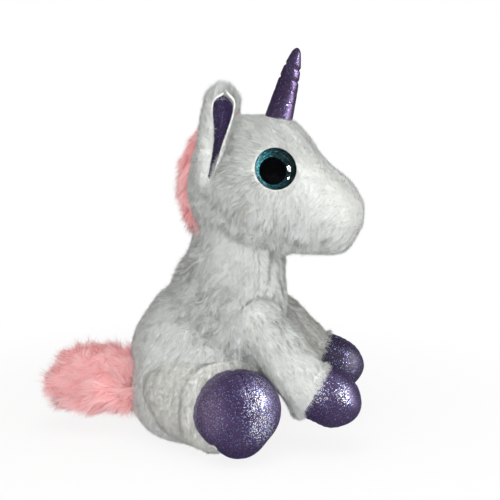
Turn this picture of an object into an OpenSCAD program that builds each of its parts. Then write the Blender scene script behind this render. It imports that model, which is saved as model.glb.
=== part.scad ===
// Seated plush unicorn. It faces +X, its right side is towards -Y, and it rests on the seat panel at Z = 0.
// The solids are the stuffed outer shapes without the pile, which stands a few millimetres further out.

/* [Torso] */
// Height of the neck rim above the rest face
torso_h = 100; // [96:1:104]
// Height at which the rump is widest
rump_h = 30; // [26:1:34]
// How far the rump reaches behind the origin
rump_reach = 39.5; // [37:0.5:42]
// How far the belly reaches in front of the origin
belly_reach = 43; // [41:0.5:45]
// Width across the rump
rump_w = 76; // [72:1:82]
// Length of the seat panel, front to back
seat_l = 46; // [42:1:50]
// Width of the seat panel
seat_w = 46; // [40:1:50]
// Length of the neck rim, front to back
neck_l = 53; // [51:0.5:55]
// Width of the neck rim
neck_w = 54; // [51:0.5:57]
// Middle of the neck in front of the origin
neck_x = 21; // [19:0.5:23]

/* [Head] */
// Length of the head, from its back to the snout
head_l = 94; // [90:1:98]
// Height of the head, from chin to crown
head_h = 76; // [73:1:79]
// Width across the cheeks
head_w = 79; // [76:1:84]
// How far the back of the head lies behind the origin
head_back = 4; // [2:0.5:6]
// Height of the crease between the neck rim and the chin
neck_crease = 4; // [3.5:0.5:6]
// Radius of the stuffed neck ball that the head nods on
neck_ball_r = 27; // [26:0.5:28]
// Height of the nodding axis above the neck rim
nod_axis_h = 18; // [17:0.5:19]
// Width of the strip sewn between the two head sides
gusset_w = 18; // [16:1:20]

/* [Eyes] */
// Diameter of the clear lens
eye_d = 22; // [20:0.5:24]
// Height of the lens over the fabric
eye_h = 6.5; // [5:0.5:8]
// Diameter of the black pupil
pupil_d = 14; // [12:0.5:16]
// Diameter of the stem moulded on the pupil
eye_stem_d = 4.5; // [4:0.5:5.5]
// Length of the stem behind the pupil
eye_stem_l = 13; // [11:1:15]
// Diameter of the lock washer
washer_d = 16; // [14:0.5:18]
// Place of the eye in front of the origin
eye_x = 43.5; // [41:0.5:45]
// Height of the eye above the chin
eye_rise = 48; // [45:0.5:50]
// Turn of the eye towards the snout, in degrees
eye_yaw = 15; // [10:1:20]
// Turn of the eye upwards, in degrees
eye_pitch = 13; // [9:1:17]

/* [Horn] */
// Length of the horn over the crown
horn_l = 38; // [34:1:42]
// Diameter at the crown
horn_d = 15; // [13:0.5:16.5]
// Diameter near the rounded tip
horn_tip_d = 5.6; // [4.5:0.2:6.5]
// Forward tilt of the horn, in degrees
horn_tilt = 15; // [12:1:18]
// Place of the horn in front of the origin
horn_x = 44; // [42:0.5:46]
// Number of turns of winding thread
horn_turns = 4; // [3:1:5]

/* [Ears] */
// Height of the ear over its root
ear_h = 46; // [42:1:50]
// Diameter of the rolled ear at its fullest
ear_d = 17; // [15.5:0.5:18]
// Diameter of the sewn ear root
ear_root_d = 9; // [8:0.5:10]
// Place of the ear root in front of the origin
ear_x = 6.5; // [5:0.5:8]
// Height of the ear root above the chin
ear_rise = 44; // [42:0.5:46]
// Backward lean of the left ear past the right one, in degrees
ear_left_lean = 7; // [0:1:10]

/* [Mane] */
// Width of the mane strip
mane_w = 16; // [12:1:20]
// How far the mane stands off the head
mane_t = 9; // [7:0.5:11]

/* [Forelegs] */
// Distance of each foreleg from the middle plane
foreleg_y = 28; // [27:0.5:30]
// Place of the shoulder in front of the origin
shoulder_x = 34; // [33:0.5:35]
// Height of the shoulder above the rest face
shoulder_h = 71; // [69:0.5:73]
// Diameter of the foreleg at the shoulder
foreleg_d = 29; // [27:0.5:30]
// Diameter of the foreleg at the ankle
ankle_d = 27; // [25.5:0.5:28]
// Distance from the shoulder to the ankle
foreleg_l = 43.5; // [42:0.5:46]
// Slope of the foreleg below level, in degrees
foreleg_slope = 54; // [52:1:56]
// Slope of the front hoof below level, in degrees
front_hoof_slope = 26; // [22:1:30]
// Length of the front hoof from its cuff
front_hoof_l = 27; // [25:0.5:29]
// Distance of the front cuff from the ankle
front_cuff = 5; // [4:0.5:6]
// Forward lean of the left foreleg past the right one, in degrees
foreleg_left_lean = 6; // [0:1:8]

/* [Hind legs] */
// Distance of each hip from the middle plane
hip_y = 23; // [22.5:0.5:25]
// Place of the hip in front of the origin
hip_x = 15; // [13:0.5:16]
// Height of the hip above the rest face
hip_h = 24.5; // [24:0.5:26]
// Diameter of the hind leg at the hip
hindleg_d = 37; // [35:0.5:38]
// Diameter of the hind cuff
hind_cuff_d = 42; // [40:0.5:43]
// Distance from the hip to the cuff
hindleg_l = 16; // [15:0.5:18]
// Forward turn of the hind leg from straight out, in degrees
hindleg_yaw = 24; // [20:1:28]
// Length of the hind hoof from its cuff
hind_hoof_l = 26; // [24:0.5:28]

/* [Tail] */
// Length of the tail from the rump
tail_l = 53; // [48:1:58]
// Diameter of the tail's fluff
tail_d = 36; // [32:1:38]
// Diameter of the stuffed ball at the tail's root
tail_root_d = 24; // [22:0.5:25]
// Height of the tail above the rest face
tail_h = 28.5; // [27:0.5:30]

/* [Fabric] */
// Thickness of the white fabric with its backing
skin_t = 2; // [1.6:0.1:2.4]
// Thickness of the glitter fabric
glitter_t = 1.4; // [1:0.1:1.8]
// Gap between pieces that move past each other
joint_gap = 0.5; // [0.4:0.05:0.7]
// Gap between pieces that lie on each other
lay_gap = 0.15; // [0.1:0.05:0.25]

/* [Travel] */
// Furthest swing of a foreleg forwards, in degrees
foreleg_forward = 25; // [15:1:25]
// Furthest swing of a foreleg backwards, in degrees
foreleg_backward = 1; // [0.5:0.5:2]
// Furthest swing of a hind leg each way, in degrees
hindleg_swing = 12; // [8:1:15]

/* [Hidden] */
ring_n = 32;
curve_n = 12;
far = 300;
torso_levels = [0.02, 0.06, 0.12, 0.2, 0.3, 0.4, 0.5, 0.6, 0.7, 0.8, 0.9, 1];
nod_z = torso_h + nod_axis_h;
chin_z = torso_h + neck_crease;
head_x0 = -head_back;
tail_x = rump_reach - tail_root_d / 2 + 7;
tail_fluff_x = tail_x + tail_root_d / 2 - 2.5;
tail_end_x = rump_reach + tail_l;
front_hoof_d = ankle_d + 2.5;
hind_hoof_d = hind_cuff_d + 2;
// Fullness of the hooves over their cuffs, as a share of the radius
front_bulge = 0.06;
hind_bulge = 0.09;
// How far the filling lies inside a hoof
hoof_fill = glitter_t + lay_gap;
tail_bevel = 2;
bag_d = 30;
bag_h = 11;
bag_back = 12;
// Head rows: share of the length, then underside, top and width as shares of the head's height and width
head_rows = [
  [0.00, 0.38, 0.62, 0.30],
  [0.025, 0.28, 0.74, 0.46],
  [0.06, 0.20, 0.84, 0.60],
  [0.13, 0.10, 0.93, 0.78],
  [0.20, 0.05, 0.975, 0.90],
  [0.31, 0.015, 1.00, 0.985],
  [0.38, 0.00, 1.00, 1.00],
  [0.45, 0.00, 1.00, 0.965],
  [0.54, 0.00, 0.98, 0.88],
  [0.62, 0.00, 0.92, 0.79],
  [0.68, 0.00, 0.83, 0.72],
  [0.75, 0.00, 0.715, 0.65],
  [0.82, 0.005, 0.635, 0.60],
  [0.89, 0.03, 0.57, 0.52],
  [0.945, 0.085, 0.50, 0.41],
  [0.98, 0.15, 0.43, 0.28],
  [1.00, 0.22, 0.36, 0.14]
];
// Where the head is widest, as a share of each row's height
cheek_level = 0.46;
// Ear rows: share of the height, radius as a share of the fullest, half of the opening in degrees
ear_rows = [
  [0, 0.42, 16], [0.15, 0.62, 22], [0.35, 0.92, 32], [0.55, 1, 44],
  [0.75, 0.97, 60], [0.9, 0.78, 72], [0.97, 0.52, 70], [1, 0.32, 60]
];
// Mane outline: distance along X and height above the chin of the outer edge
mane_crown_x = 24;
mane_end_rise = 8;

// Basic shapes

function smooth(u) = u * u * (3 - 2 * u);
function column(rows, k) = [for (r = rows) [r[0], r[k]]];

// A closed cross-section round c: a is the half-size along u, top and low the half-sizes along v
function ring(c, u, v, a, top, low) = [
  for (i = [0:ring_n - 1]) let (t = 360 * i / ring_n)
    c + a * cos(t) * u + (sin(t) > 0 ? top : low) * sin(t) * v
];

// A closed solid through rings of equal count
module skinned(rings) {
  n = len(rings[0]);
  last = (len(rings) - 1) * n;
  walls = [
    for (i = [0:len(rings) - 2]) for (j = [0:n - 1]) let (a = i * n + j, b = i * n + (j + 1) % n)
      each [[a, a + n, b + n], [a, b + n, b]]
  ];
  start = [[for (j = [0:n - 1]) j]];
  end = [[for (j = [n - 1:-1:0]) last + j]];
  polyhedron([for (r = rings) each r], concat(start, walls, end), convexity = 6);
}

// A closed sheet between an outer and an inner grid of points
module sheet(outer, inner) {
  m = len(outer);
  n = len(outer[0]);
  k = m * n;
  tiles = [
    for (i = [0:m - 2]) for (j = [0:n - 2]) let (a = i * n + j)
      [a, a + n, a + n + 1, a + 1]
  ];
  faces = [for (t = tiles) each [[t[0], t[1], t[2]], [t[0], t[2], t[3]]]];
  backs = [for (t = tiles) each [[t[2] + k, t[1] + k, t[0] + k], [t[3] + k, t[2] + k, t[0] + k]]];
  edge = concat(
    [for (j = [0:n - 1]) j], [for (i = [1:m - 1]) i * n + n - 1],
    [for (j = [n - 2:-1:0]) (m - 1) * n + j], [for (i = [m - 2:-1:1]) i * n]
  );
  rim = [
    for (i = [0:len(edge) - 1]) let (a = edge[i], b = edge[(i + 1) % len(edge)])
      each [[a, b, b + k], [a, b + k, a + k]]
  ];
  polyhedron([for (r = concat(outer, inner)) each r], concat(faces, backs, rim), convexity = 6);
}

module side_of(side) {
  if (side < 0) children();
  else mirror([0, 1, 0]) children();
}

// Half of space on one side of the middle plane, from a distance outwards
module beside(side, from) {
  side_of(side) translate([-far, -far - from, -far]) cube([2 * far, far, 2 * far]);
}

// Torso

function rump_share(z) = z < rump_h ? sqrt(1 - pow(1 - z / rump_h, 2)) : 0;
function neck_share(z, power) = z > rump_h ? smooth(pow((z - rump_h) / (torso_h - rump_h), power)) : 0;
function torso_size(z, seat, rump, neck, power) =
  z < rump_h ? seat + (rump - seat) * rump_share(z) : rump + (neck - rump) * neck_share(z, power);
function torso_back(z) = -torso_size(z, seat_l / 2, rump_reach, neck_l / 2 - neck_x, 1.7);
function torso_front(z) = torso_size(z, seat_l / 2, belly_reach, neck_x + neck_l / 2, 0.7);
function torso_half_w(z) = torso_size(z, seat_w / 2, rump_w / 2, neck_w / 2, 1.15);
function torso_ring(z, level, inset) =
  let (b = torso_back(z) + inset, f = torso_front(z) - inset, w = torso_half_w(z) - inset)
    ring([(b + f) / 2, 0, level], [1, 0, 0], [0, 1, 0], (f - b) / 2, w, w);

// The torso's shape drawn in by inset, from height low to height high
module torso_form(inset, low, high) {
  inside = [for (s = torso_levels) if (s * torso_h > low + 1 && s * torso_h < high - 1) s * torso_h];
  levels = concat([low], inside, [high]);
  skinned([for (z = levels) torso_ring(max(skin_t, min(z, torso_h)), z, inset)]);
}

module neck_ball(gap) {
  translate([neck_x, 0, nod_z]) sphere(r = neck_ball_r + gap, $fn = 36);
}

module tail_root(gap) {
  translate([-tail_x, 0, tail_h]) sphere(d = tail_root_d + 2 * gap, $fn = 28);
}

// Room that one foreleg needs over its whole swing, in three short steps
module foreleg_room(side) {
  step = (foreleg_forward + foreleg_backward) / 3;
  start_r = foreleg_d / 2 + joint_gap;
  end_r = ankle_d / 2 + joint_gap;
  for (i = [0:2]) hull() for (k = [i, i + 1])
    at_shoulder(side) rotate([0, foreleg_backward - step * k, 0]) along_foreleg()
      cylinder(r1 = start_r, r2 = end_r, h = foreleg_l, $fn = 28);
  at_shoulder(side) sphere(r = start_r, $fn = 24);
}

// Room that one hind leg needs over its whole swing, in two short steps
module hindleg_room() {
  start_r = hindleg_d / 2 + joint_gap;
  end_r = hind_cuff_d / 2 + joint_gap;
  for (from = [-hindleg_swing, 0]) hull() for (swing = [from, from + hindleg_swing])
    at_hip() rotate([0, swing, 0]) along_hindleg()
      cylinder(r1 = start_r, r2 = end_r, h = hindleg_l, $fn = 28);
  at_hip() sphere(r = start_r, $fn = 28);
}

// Everything that the torso leaves free for its neighbours
module torso_rooms() {
  neck_ball(joint_gap);
  tail_root(joint_gap);
  for (side = [-1, 1]) side_of(side) {
    foreleg_room(side);
    hindleg_room();
  }
}

module torso_side(side) {
  color("white") intersection() {
    difference() {
      torso_form(0, skin_t, torso_h);
      torso_form(skin_t, skin_t - 1, torso_h + 1);
      torso_rooms();
    }
    beside(side, 0);
  }
}

module seat_panel() {
  color("whitesmoke") linear_extrude(skin_t)
    polygon([for (p = torso_ring(skin_t, 0, 0)) [p.x, p.y]]);
}

module torso_stuffing() {
  color("ivory") difference() {
    torso_form(skin_t + lay_gap, skin_t + lay_gap, torso_h - lay_gap);
    torso_rooms();
    pellet_shape(lay_gap);
  }
}

// A flat round bag of beads on the seat panel, which keeps the toy sitting
module pellet_shape(gap) {
  edge_r = bag_h / 2 + gap;
  flat_r = (bag_d - bag_h) / 2;
  edge = [for (i = [0:6]) let (t = -90 + 30 * i) [flat_r + edge_r * cos(t), bag_h / 2 + edge_r * sin(t)]];
  translate([-bag_back, 0, skin_t + lay_gap]) rotate_extrude($fn = 48)
    polygon(concat([[0, -gap]], edge, [[0, bag_h + gap]]));
}

module pellet_bag() {
  color("gainsboro") pellet_shape(0);
}

// Head

function head_share(x) = (x - head_x0) / head_l;
function head_low(s, inset) = chin_z + head_h * lookup(s, column(head_rows, 1)) + inset;
function head_top(s, inset) = chin_z + head_h * lookup(s, column(head_rows, 2)) - inset;
function head_half_w(s, inset) = head_w / 2 * lookup(s, column(head_rows, 3)) - inset;
function head_ring(s, inset) =
  let (low = head_low(s, inset), top = head_top(s, inset), mid = low + cheek_level * (top - low))
    ring([head_x0 + inset + s * (head_l - 2 * inset), 0, mid], [0, 1, 0], [0, 0, 1],
      head_half_w(s, inset), top - mid, mid - low);
// How far the head's side stands from the middle plane at a place
function head_side_y(x, z) =
  let (s = head_share(x), low = head_low(s, 0), top = head_top(s, 0), mid = low + cheek_level * (top - low),
    rise = z > mid ? (z - mid) / (top - mid) : (mid - z) / (mid - low))
    head_half_w(s, 0) * sqrt(max(0, 1 - rise * rise));

module head_form(inset) {
  skinned([for (r = head_rows) head_ring(r[0], inset)]);
}

module head_skin() {
  difference() {
    head_form(0);
    head_form(skin_t);
    neck_ball(lay_gap);
  }
}

module head_side(side) {
  color("white") difference() {
    intersection() {
      head_skin();
      beside(side, gusset_w / 2);
    }
    side_of(side) at_eye() {
      translate([0, 0, -eye_stem_l]) cylinder(d = eye_stem_d + 4 * lay_gap, h = eye_stem_l + 1);
      translate([0, 0, -washer_depth - washer_t - lay_gap])
        cylinder(d = washer_d + 4 * lay_gap, h = washer_t + 2 * lay_gap);
      cylinder(d = eye_d + 4 * lay_gap, h = eye_stem_l);
    }
  }
}

// The box that holds the chin's part of the middle strip
module chin_zone() {
  translate([neck_x, -gusset_w / 2, chin_z - 1]) cube([far, gusset_w, 0.26 * head_h + 1]);
}

module head_middle() {
  intersection() {
    head_skin();
    translate([-far, -gusset_w / 2, 0]) cube([2 * far, gusset_w, far]);
  }
}

module head_gusset() {
  color("white") difference() {
    head_middle();
    chin_zone();
  }
}

module chin_gusset() {
  color("whitesmoke") intersection() {
    head_middle();
    chin_zone();
  }
}

module head_stuffing() {
  color("ivory") difference() {
    union() {
      head_form(skin_t + lay_gap);
      neck_ball(0);
    }
    for (side = [-1, 1]) side_of(side) at_eye() {
      translate([0, 0, -washer_depth - washer_t - lay_gap])
        cylinder(d = washer_d + 4 * lay_gap, h = far / 10);
      translate([0, 0, -eye_stem_l - lay_gap]) cylinder(d = eye_stem_d + 4 * lay_gap, h = eye_stem_l);
    }
  }
}

// Mane: a strip along the back of the head, from the crown to the nape

mane_back = [
  for (i = [0:curve_n]) let (t = 90 + 100 * i / curve_n)
    [mane_crown_x + (mane_crown_x + head_back + mane_t) * cos(t), head_h / 2 + (head_h / 2 + 2) * sin(t)]
];

module mane_strip() {
  nape = [[-head_back - 3, mane_end_rise], [head_back, mane_end_rise + 6]];
  outline = concat(mane_back, nape, [[mane_crown_x, head_h * 0.8]]);
  color("pink") difference() {
    translate([0, mane_w / 2, chin_z]) rotate([90, 0, 0]) linear_extrude(mane_w) polygon(outline);
    head_form(-lay_gap);
    neck_ball(lay_gap);
  }
}

// Horn

module at_horn() {
  translate([horn_x, 0, head_top(head_share(horn_x), 0)]) rotate([0, horn_tilt, 0]) children();
}

horn_sink = 5;
horn_tip_r = horn_tip_d / 2;
function horn_r(s) = horn_d / 2 + (horn_tip_r - horn_d / 2) * s / (horn_l - horn_tip_r);

// The horn's outline drawn in by inset, with a round tip
function horn_outline(inset) = let (tip_r = horn_tip_r - inset) concat(
  [[0, -horn_sink], [horn_r(-horn_sink) - inset, -horn_sink]],
  [for (t = [0:15:90]) [tip_r * cos(t), horn_l - horn_tip_r + tip_r * sin(t)]]
);

module horn_cover() {
  color("mediumpurple") difference() {
    at_horn() rotate_extrude($fn = 48) polygon(horn_outline(0));
    at_horn() rotate_extrude($fn = 48) polygon(horn_outline(glitter_t));
    head_form(-lay_gap);
  }
}

module horn_stuffing() {
  color("ivory") difference() {
    at_horn() rotate_extrude($fn = 48) polygon(horn_outline(glitter_t + lay_gap));
    head_form(-lay_gap);
  }
}

// Turns of thread that pinch the horn in, evenly spaced
module horn_thread() {
  thread_r = 0.35;
  pitch = (horn_l - horn_d / 2) / (horn_turns + 0.5);
  color("indigo") for (i = [1:horn_turns]) let (s = horn_d / 4 + (i - 0.5) * pitch)
    at_horn() translate([0, 0, s]) rotate_extrude($fn = 48)
      translate([horn_r(s) + thread_r + lay_gap, 0]) circle(r = thread_r, $fn = 16);
}

// Eyes. Local +Z points out of the face, and Z = 0 lies on the fabric.

disc_t = 0.6;
washer_t = 1.5;
washer_depth = skin_t + 1.3;

module at_eye() {
  z = chin_z + eye_rise;
  translate([eye_x, -head_side_y(eye_x, z), z]) rotate([90 - eye_pitch, 0, eye_yaw]) children();
}

module eye_lens(side) {
  base_z = disc_t + 2 * lay_gap;
  dome_h = eye_h - base_z;
  dome_r = (pow(eye_d / 2, 2) + dome_h * dome_h) / (2 * dome_h);
  color("paleturquoise") side_of(side) at_eye() intersection() {
    translate([0, 0, base_z]) cylinder(d = eye_d, h = dome_h, $fn = 64);
    translate([0, 0, eye_h - dome_r]) sphere(r = dome_r, $fn = 64);
  }
}

module glitter_disc(side) {
  color("teal") side_of(side) at_eye() translate([0, 0, lay_gap]) difference() {
    cylinder(d = eye_d - 0.6, h = disc_t, $fn = 64);
    translate([0, 0, -1]) cylinder(d = pupil_d + 2 * lay_gap, h = disc_t + 2, $fn = 64);
  }
}

module pupil_post(side) {
  color("black") side_of(side) at_eye() {
    translate([0, 0, lay_gap]) cylinder(d = pupil_d, h = disc_t, $fn = 64);
    translate([0, 0, -eye_stem_l]) cylinder(d = eye_stem_d, h = eye_stem_l + lay_gap + disc_t / 2, $fn = 32);
  }
}

module lock_washer(side) {
  color("silver") side_of(side) at_eye() translate([0, 0, -washer_depth - washer_t]) difference() {
    cylinder(d = washer_d, h = washer_t, $fn = 48);
    translate([0, 0, -1]) cylinder(d = eye_stem_d + 2 * lay_gap, h = washer_t + 2, $fn = 48);
  }
}

// Ears: a leaf of fabric rolled round its lining, open towards the front and outwards

ear_axis = [0.24, -0.13, 0.962];
ear_open = [0.5, -0.86, 0];
ear_side = cross(ear_axis, ear_open);
ear_z = chin_z + ear_rise;
// The root ball clears the sloping side of the head
ear_root_r = ear_root_d / 2;
ear_slope = (head_side_y(ear_x + ear_root_r, ear_z) - head_side_y(ear_x, ear_z)) / ear_root_r;
ear_y = head_side_y(ear_x, ear_z) + (ear_root_r + joint_gap) * sqrt(1 + ear_slope * ear_slope);

module at_ear_root(side) {
  lean = side > 0 ? ear_left_lean : 0;
  translate([ear_x, -ear_y, ear_z]) rotate([0, -lean, 0]) children();
}

function ear_grid(inset) = [
  for (s = [0.04, 0.15, 0.27, 0.4, 0.55, 0.7, 0.82, 0.91, 0.97, 1])
    let (r = ear_d / 2 * lookup(s, column(ear_rows, 1)) - inset, open = lookup(s, column(ear_rows, 2)))
      [for (j = [0:18]) let (t = open + (360 - 2 * open) * j / 18)
        s * ear_h * ear_axis + r * (cos(t) * ear_open + sin(t) * ear_side)]
];

module ear_outer(side) {
  color("white") side_of(side) at_ear_root(side) {
    sheet(ear_grid(0), ear_grid(1.2));
    intersection() {
      sphere(d = ear_root_d, $fn = 32);
      translate([-far / 2, -far / 2, -far]) cube([far, far, far + 0.04 * ear_h]);
    }
  }
}

module ear_lining(side) {
  color("rebeccapurple") side_of(side) at_ear_root(side) difference() {
    sheet(ear_grid(1.2 + lay_gap / 3), ear_grid(2));
    sphere(d = ear_root_d + lay_gap, $fn = 32);
  }
}

// Forelegs, drawn on the right side. The left one leans forward at rest.

module at_shoulder(side) {
  lean = side > 0 ? foreleg_left_lean : 0;
  translate([shoulder_x, -foreleg_y, shoulder_h]) rotate([0, -lean, 0]) children();
}

module along_foreleg() {
  rotate([0, 90 + foreleg_slope, 0]) children();
}

module at_front_cuff(side) {
  at_shoulder(side) along_foreleg() translate([0, 0, foreleg_l])
    rotate([0, front_hoof_slope - foreleg_slope, 0]) translate([0, 0, front_cuff]) children();
}

// Outline of a stuffed tube with round ends, drawn in by inset: r1 at z = 0, r2 at z = l
function tube_outline(r1, r2, l, inset) = concat(
  [for (i = [-8:0]) let (t = 11.25 * i) [(r1 - inset) * cos(t), (r1 - inset) * sin(t)]],
  [for (i = [0:8]) let (t = 11.25 * i) [(r2 - inset) * cos(t), l + (r2 - inset) * sin(t)]]
);

// Outline of a hoof from its cuff at z = 0 to its blunt end at z = l
function hoof_curve(r, l, bulge) = [
  for (i = [0:curve_n]) let (t = 90 * i / curve_n, s = pow(sin(t), 1.15))
    [r * (1 + bulge * sin(180 * s)) * pow(1 - pow(s, 3), 0.45), l * s]
];

module hoof_half(r, l, bulge, from) {
  outer = hoof_curve(r, l, bulge);
  inner = hoof_curve(r - glitter_t, l - glitter_t, bulge);
  rotate([0, 0, from]) rotate_extrude(angle = 180, $fn = 48)
    polygon(concat(outer, [for (i = [curve_n:-1:0]) inner[i]]));
}

module foreleg_tube(side, inset) {
  at_shoulder(side) along_foreleg() rotate_extrude($fn = 48)
    polygon(tube_outline(foreleg_d / 2, ankle_d / 2, foreleg_l, inset));
}

// Half of space in front of a cuff
module past_cuff() {
  translate([-far, -far, 0]) cube(2 * far);
}

module foreleg_sleeve(side) {
  color("white") side_of(side) difference() {
    foreleg_tube(side, 0);
    foreleg_tube(side, skin_t);
    at_front_cuff(side) past_cuff();
  }
}

module foreleg_stuffing(side) {
  color("ivory") side_of(side) {
    difference() {
      foreleg_tube(side, skin_t + lay_gap);
      at_front_cuff(side) past_cuff();
    }
    at_front_cuff(side) rotate_extrude($fn = 48) polygon(concat(
      [[0, -1], [ankle_d / 2 - 2 * skin_t, -1], [ankle_d / 2 - 2 * skin_t, lay_gap]],
      [for (p = hoof_curve(front_hoof_d / 2 - hoof_fill, front_hoof_l - hoof_fill, front_bulge))
        [p.x, p.y + lay_gap]]
    ));
  }
}

module front_hoof(side, from) {
  color("rebeccapurple") side_of(side) at_front_cuff(side) translate([0, 0, lay_gap])
    hoof_half(front_hoof_d / 2, front_hoof_l, front_bulge, from);
}

// Hind legs, drawn on the right side

module at_hip() {
  translate([hip_x, -hip_y, hip_h]) children();
}

module along_hindleg() {
  rotate([90, 0, hindleg_yaw]) children();
}

module at_hind_cuff() {
  at_hip() along_hindleg() translate([0, 0, hindleg_l]) children();
}

// Outline of a hind leg from its round hip to its cuff, drawn in by inset
function hip_outline(inset, cuff_z) = let (r = hindleg_d / 2 - inset) concat(
  [for (i = [-8:0]) let (t = 11.25 * i) [r * cos(t), r * sin(t)]],
  [[hind_cuff_d / 2 - inset, cuff_z]]
);

module hindleg_sleeve(side) {
  color("white") side_of(side) at_hip() along_hindleg() difference() {
    rotate_extrude($fn = 48) polygon(concat(hip_outline(0, hindleg_l), [[0, hindleg_l]]));
    rotate_extrude($fn = 48) polygon(concat(hip_outline(skin_t, hindleg_l + 1), [[0, hindleg_l + 1]]));
  }
}

module hindleg_stuffing(side) {
  color("ivory") side_of(side) at_hip() along_hindleg() rotate_extrude($fn = 48) polygon(concat(
    hip_outline(skin_t + lay_gap, hindleg_l),
    [for (p = hoof_curve(hind_hoof_d / 2 - hoof_fill, hind_hoof_l - hoof_fill, hind_bulge))
      [p.x, p.y + hindleg_l + lay_gap]]
  ));
}

module hind_hoof(side, from) {
  color("rebeccapurple") side_of(side) at_hind_cuff() translate([0, 0, lay_gap])
    hoof_half(hind_hoof_d / 2, hind_hoof_l, hind_bulge, from);
}

// Tail: local +Z points backwards, away from the rump

function tail_curve(inset) = let (length = tail_end_x - tail_fluff_x - inset) [
  for (i = [0:curve_n]) let (t = 90 * i / curve_n)
    [(tail_d / 2 - inset) * pow(cos(t), 0.8), length - tail_d / 2 * (1 - sin(t))]
];
function tail_outline(inset) = concat(
  [[0, inset], [tail_root_d / 2 - tail_bevel - inset, inset], [tail_d / 2 - inset, tail_d / 3 + inset]],
  tail_curve(inset)
);

module at_tail_fluff() {
  translate([-tail_fluff_x, 0, tail_h]) rotate([0, -90, 0]) children();
}

module tail_cover() {
  color("lightpink") difference() {
    union() {
      tail_root(0);
      at_tail_fluff() rotate_extrude($fn = 48) polygon(tail_outline(0));
    }
    tail_core(0);
  }
}

module tail_core(inset) {
  core_r = tail_root_d / 6 - inset;
  translate([-tail_x, 0, tail_h]) rotate([0, -90, 0])
    rotate_extrude($fn = 32) polygon(tube_outline(core_r, core_r, tail_l / 2, 0));
}

module tail_stuffing() {
  color("mistyrose") tail_core(lay_gap);
}

torso_side(-1);  // torso_side_right
torso_side(1);  // torso_side_left
seat_panel();
torso_stuffing();
pellet_bag();
head_side(-1);  // head_side_right
head_side(1);  // head_side_left
head_gusset();
chin_gusset();
head_stuffing();
mane_strip();
horn_cover();
horn_stuffing();
horn_thread();
eye_lens(-1);  // eye_lens_right
eye_lens(1);  // eye_lens_left
glitter_disc(-1);  // glitter_disc_right
glitter_disc(1);  // glitter_disc_left
pupil_post(-1);  // pupil_post_right
pupil_post(1);  // pupil_post_left
lock_washer(-1);  // lock_washer_right
lock_washer(1);  // lock_washer_left
ear_outer(-1);  // ear_outer_right
ear_outer(1);  // ear_outer_left
ear_lining(-1);  // ear_lining_right
ear_lining(1);  // ear_lining_left
foreleg_sleeve(-1);  // foreleg_sleeve_right
foreleg_sleeve(1);  // foreleg_sleeve_left
foreleg_stuffing(-1);  // foreleg_stuffing_right
foreleg_stuffing(1);  // foreleg_stuffing_left
front_hoof(-1, 180);  // front_hoof_outer_right
front_hoof(1, 180);  // front_hoof_outer_left
front_hoof(-1, 0);  // front_hoof_inner_right
front_hoof(1, 0);  // front_hoof_inner_left
hindleg_sleeve(-1);  // hindleg_sleeve_right
hindleg_sleeve(1);  // hindleg_sleeve_left
hindleg_stuffing(-1);  // hindleg_stuffing_right
hindleg_stuffing(1);  // hindleg_stuffing_left
hind_hoof(-1, -90);  // hind_hoof_front_right
hind_hoof(1, -90);  // hind_hoof_front_left
hind_hoof(-1, 90);  // hind_hoof_back_right
hind_hoof(1, 90);  // hind_hoof_back_left
tail_cover();
tail_stuffing();
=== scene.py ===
import bpy, bmesh, math
import numpy as np
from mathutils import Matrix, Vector


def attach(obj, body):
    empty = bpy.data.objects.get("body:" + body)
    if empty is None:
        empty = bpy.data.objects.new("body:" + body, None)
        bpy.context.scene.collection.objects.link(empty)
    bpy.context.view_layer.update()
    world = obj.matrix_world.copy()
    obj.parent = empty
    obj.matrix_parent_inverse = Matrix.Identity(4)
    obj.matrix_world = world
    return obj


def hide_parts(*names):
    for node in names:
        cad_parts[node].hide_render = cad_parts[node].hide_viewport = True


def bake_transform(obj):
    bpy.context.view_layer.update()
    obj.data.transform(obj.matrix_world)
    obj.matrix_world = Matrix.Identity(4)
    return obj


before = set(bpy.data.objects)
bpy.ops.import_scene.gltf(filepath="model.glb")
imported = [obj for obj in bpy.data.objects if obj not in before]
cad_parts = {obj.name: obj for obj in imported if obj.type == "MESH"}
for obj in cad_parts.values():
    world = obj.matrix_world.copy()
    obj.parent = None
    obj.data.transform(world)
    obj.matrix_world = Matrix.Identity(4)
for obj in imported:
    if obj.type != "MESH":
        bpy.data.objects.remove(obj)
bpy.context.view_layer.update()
print("frame loaded:", len(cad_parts), "nodes")

# Everything below is worked out in millimetres and goes into the meshes in metres.
mm = 0.001
upWay, acrossWay = np.array([0, 0, 1.0]), np.array([0, 1.0, 0])


def scaled(v):
    return tuple(x * mm for x in v)


sides = ((-1, "right"), (1, "left"))

# Lamps are given as power, place and size. Only the windows show in the eyes and the glitter.
studio = {
    "cameraFrom": (62.9, -498.8, 175.0), "cameraAt": (28.0, 0.0, 105.0), "viewAngle": 31.0,
    "lamps": {"windowTop": (2.4, (519, -112, 235), (170, 190)),
              "windowBottom": (0.4, (327, -72, 37), (55, 55)),
              "keyLight": (2.9, (60, -560, 110), (300, 300)),
              "fillLight": (1.35, (20, -200, 620), (420, 420)),
              "sideLight": (0.6, (519, -112, 335), (300, 300))},
    "lampColor": (0.965, 1.0, 1.0), "lampsAt": (25, 0, 90),
    "room": (1.0, 0.985, 0.955), "ambient": 0.475, "reflected": (0.7, 0.8, 1.0), "mirrored": 0.02,
}


def aimed(obj, start, end):
    obj.location = scaled(start)
    obj.rotation_euler = Vector(np.subtract(end, start)).to_track_quat("-Z", "Y").to_euler()
    bpy.context.scene.collection.objects.link(obj)


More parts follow.
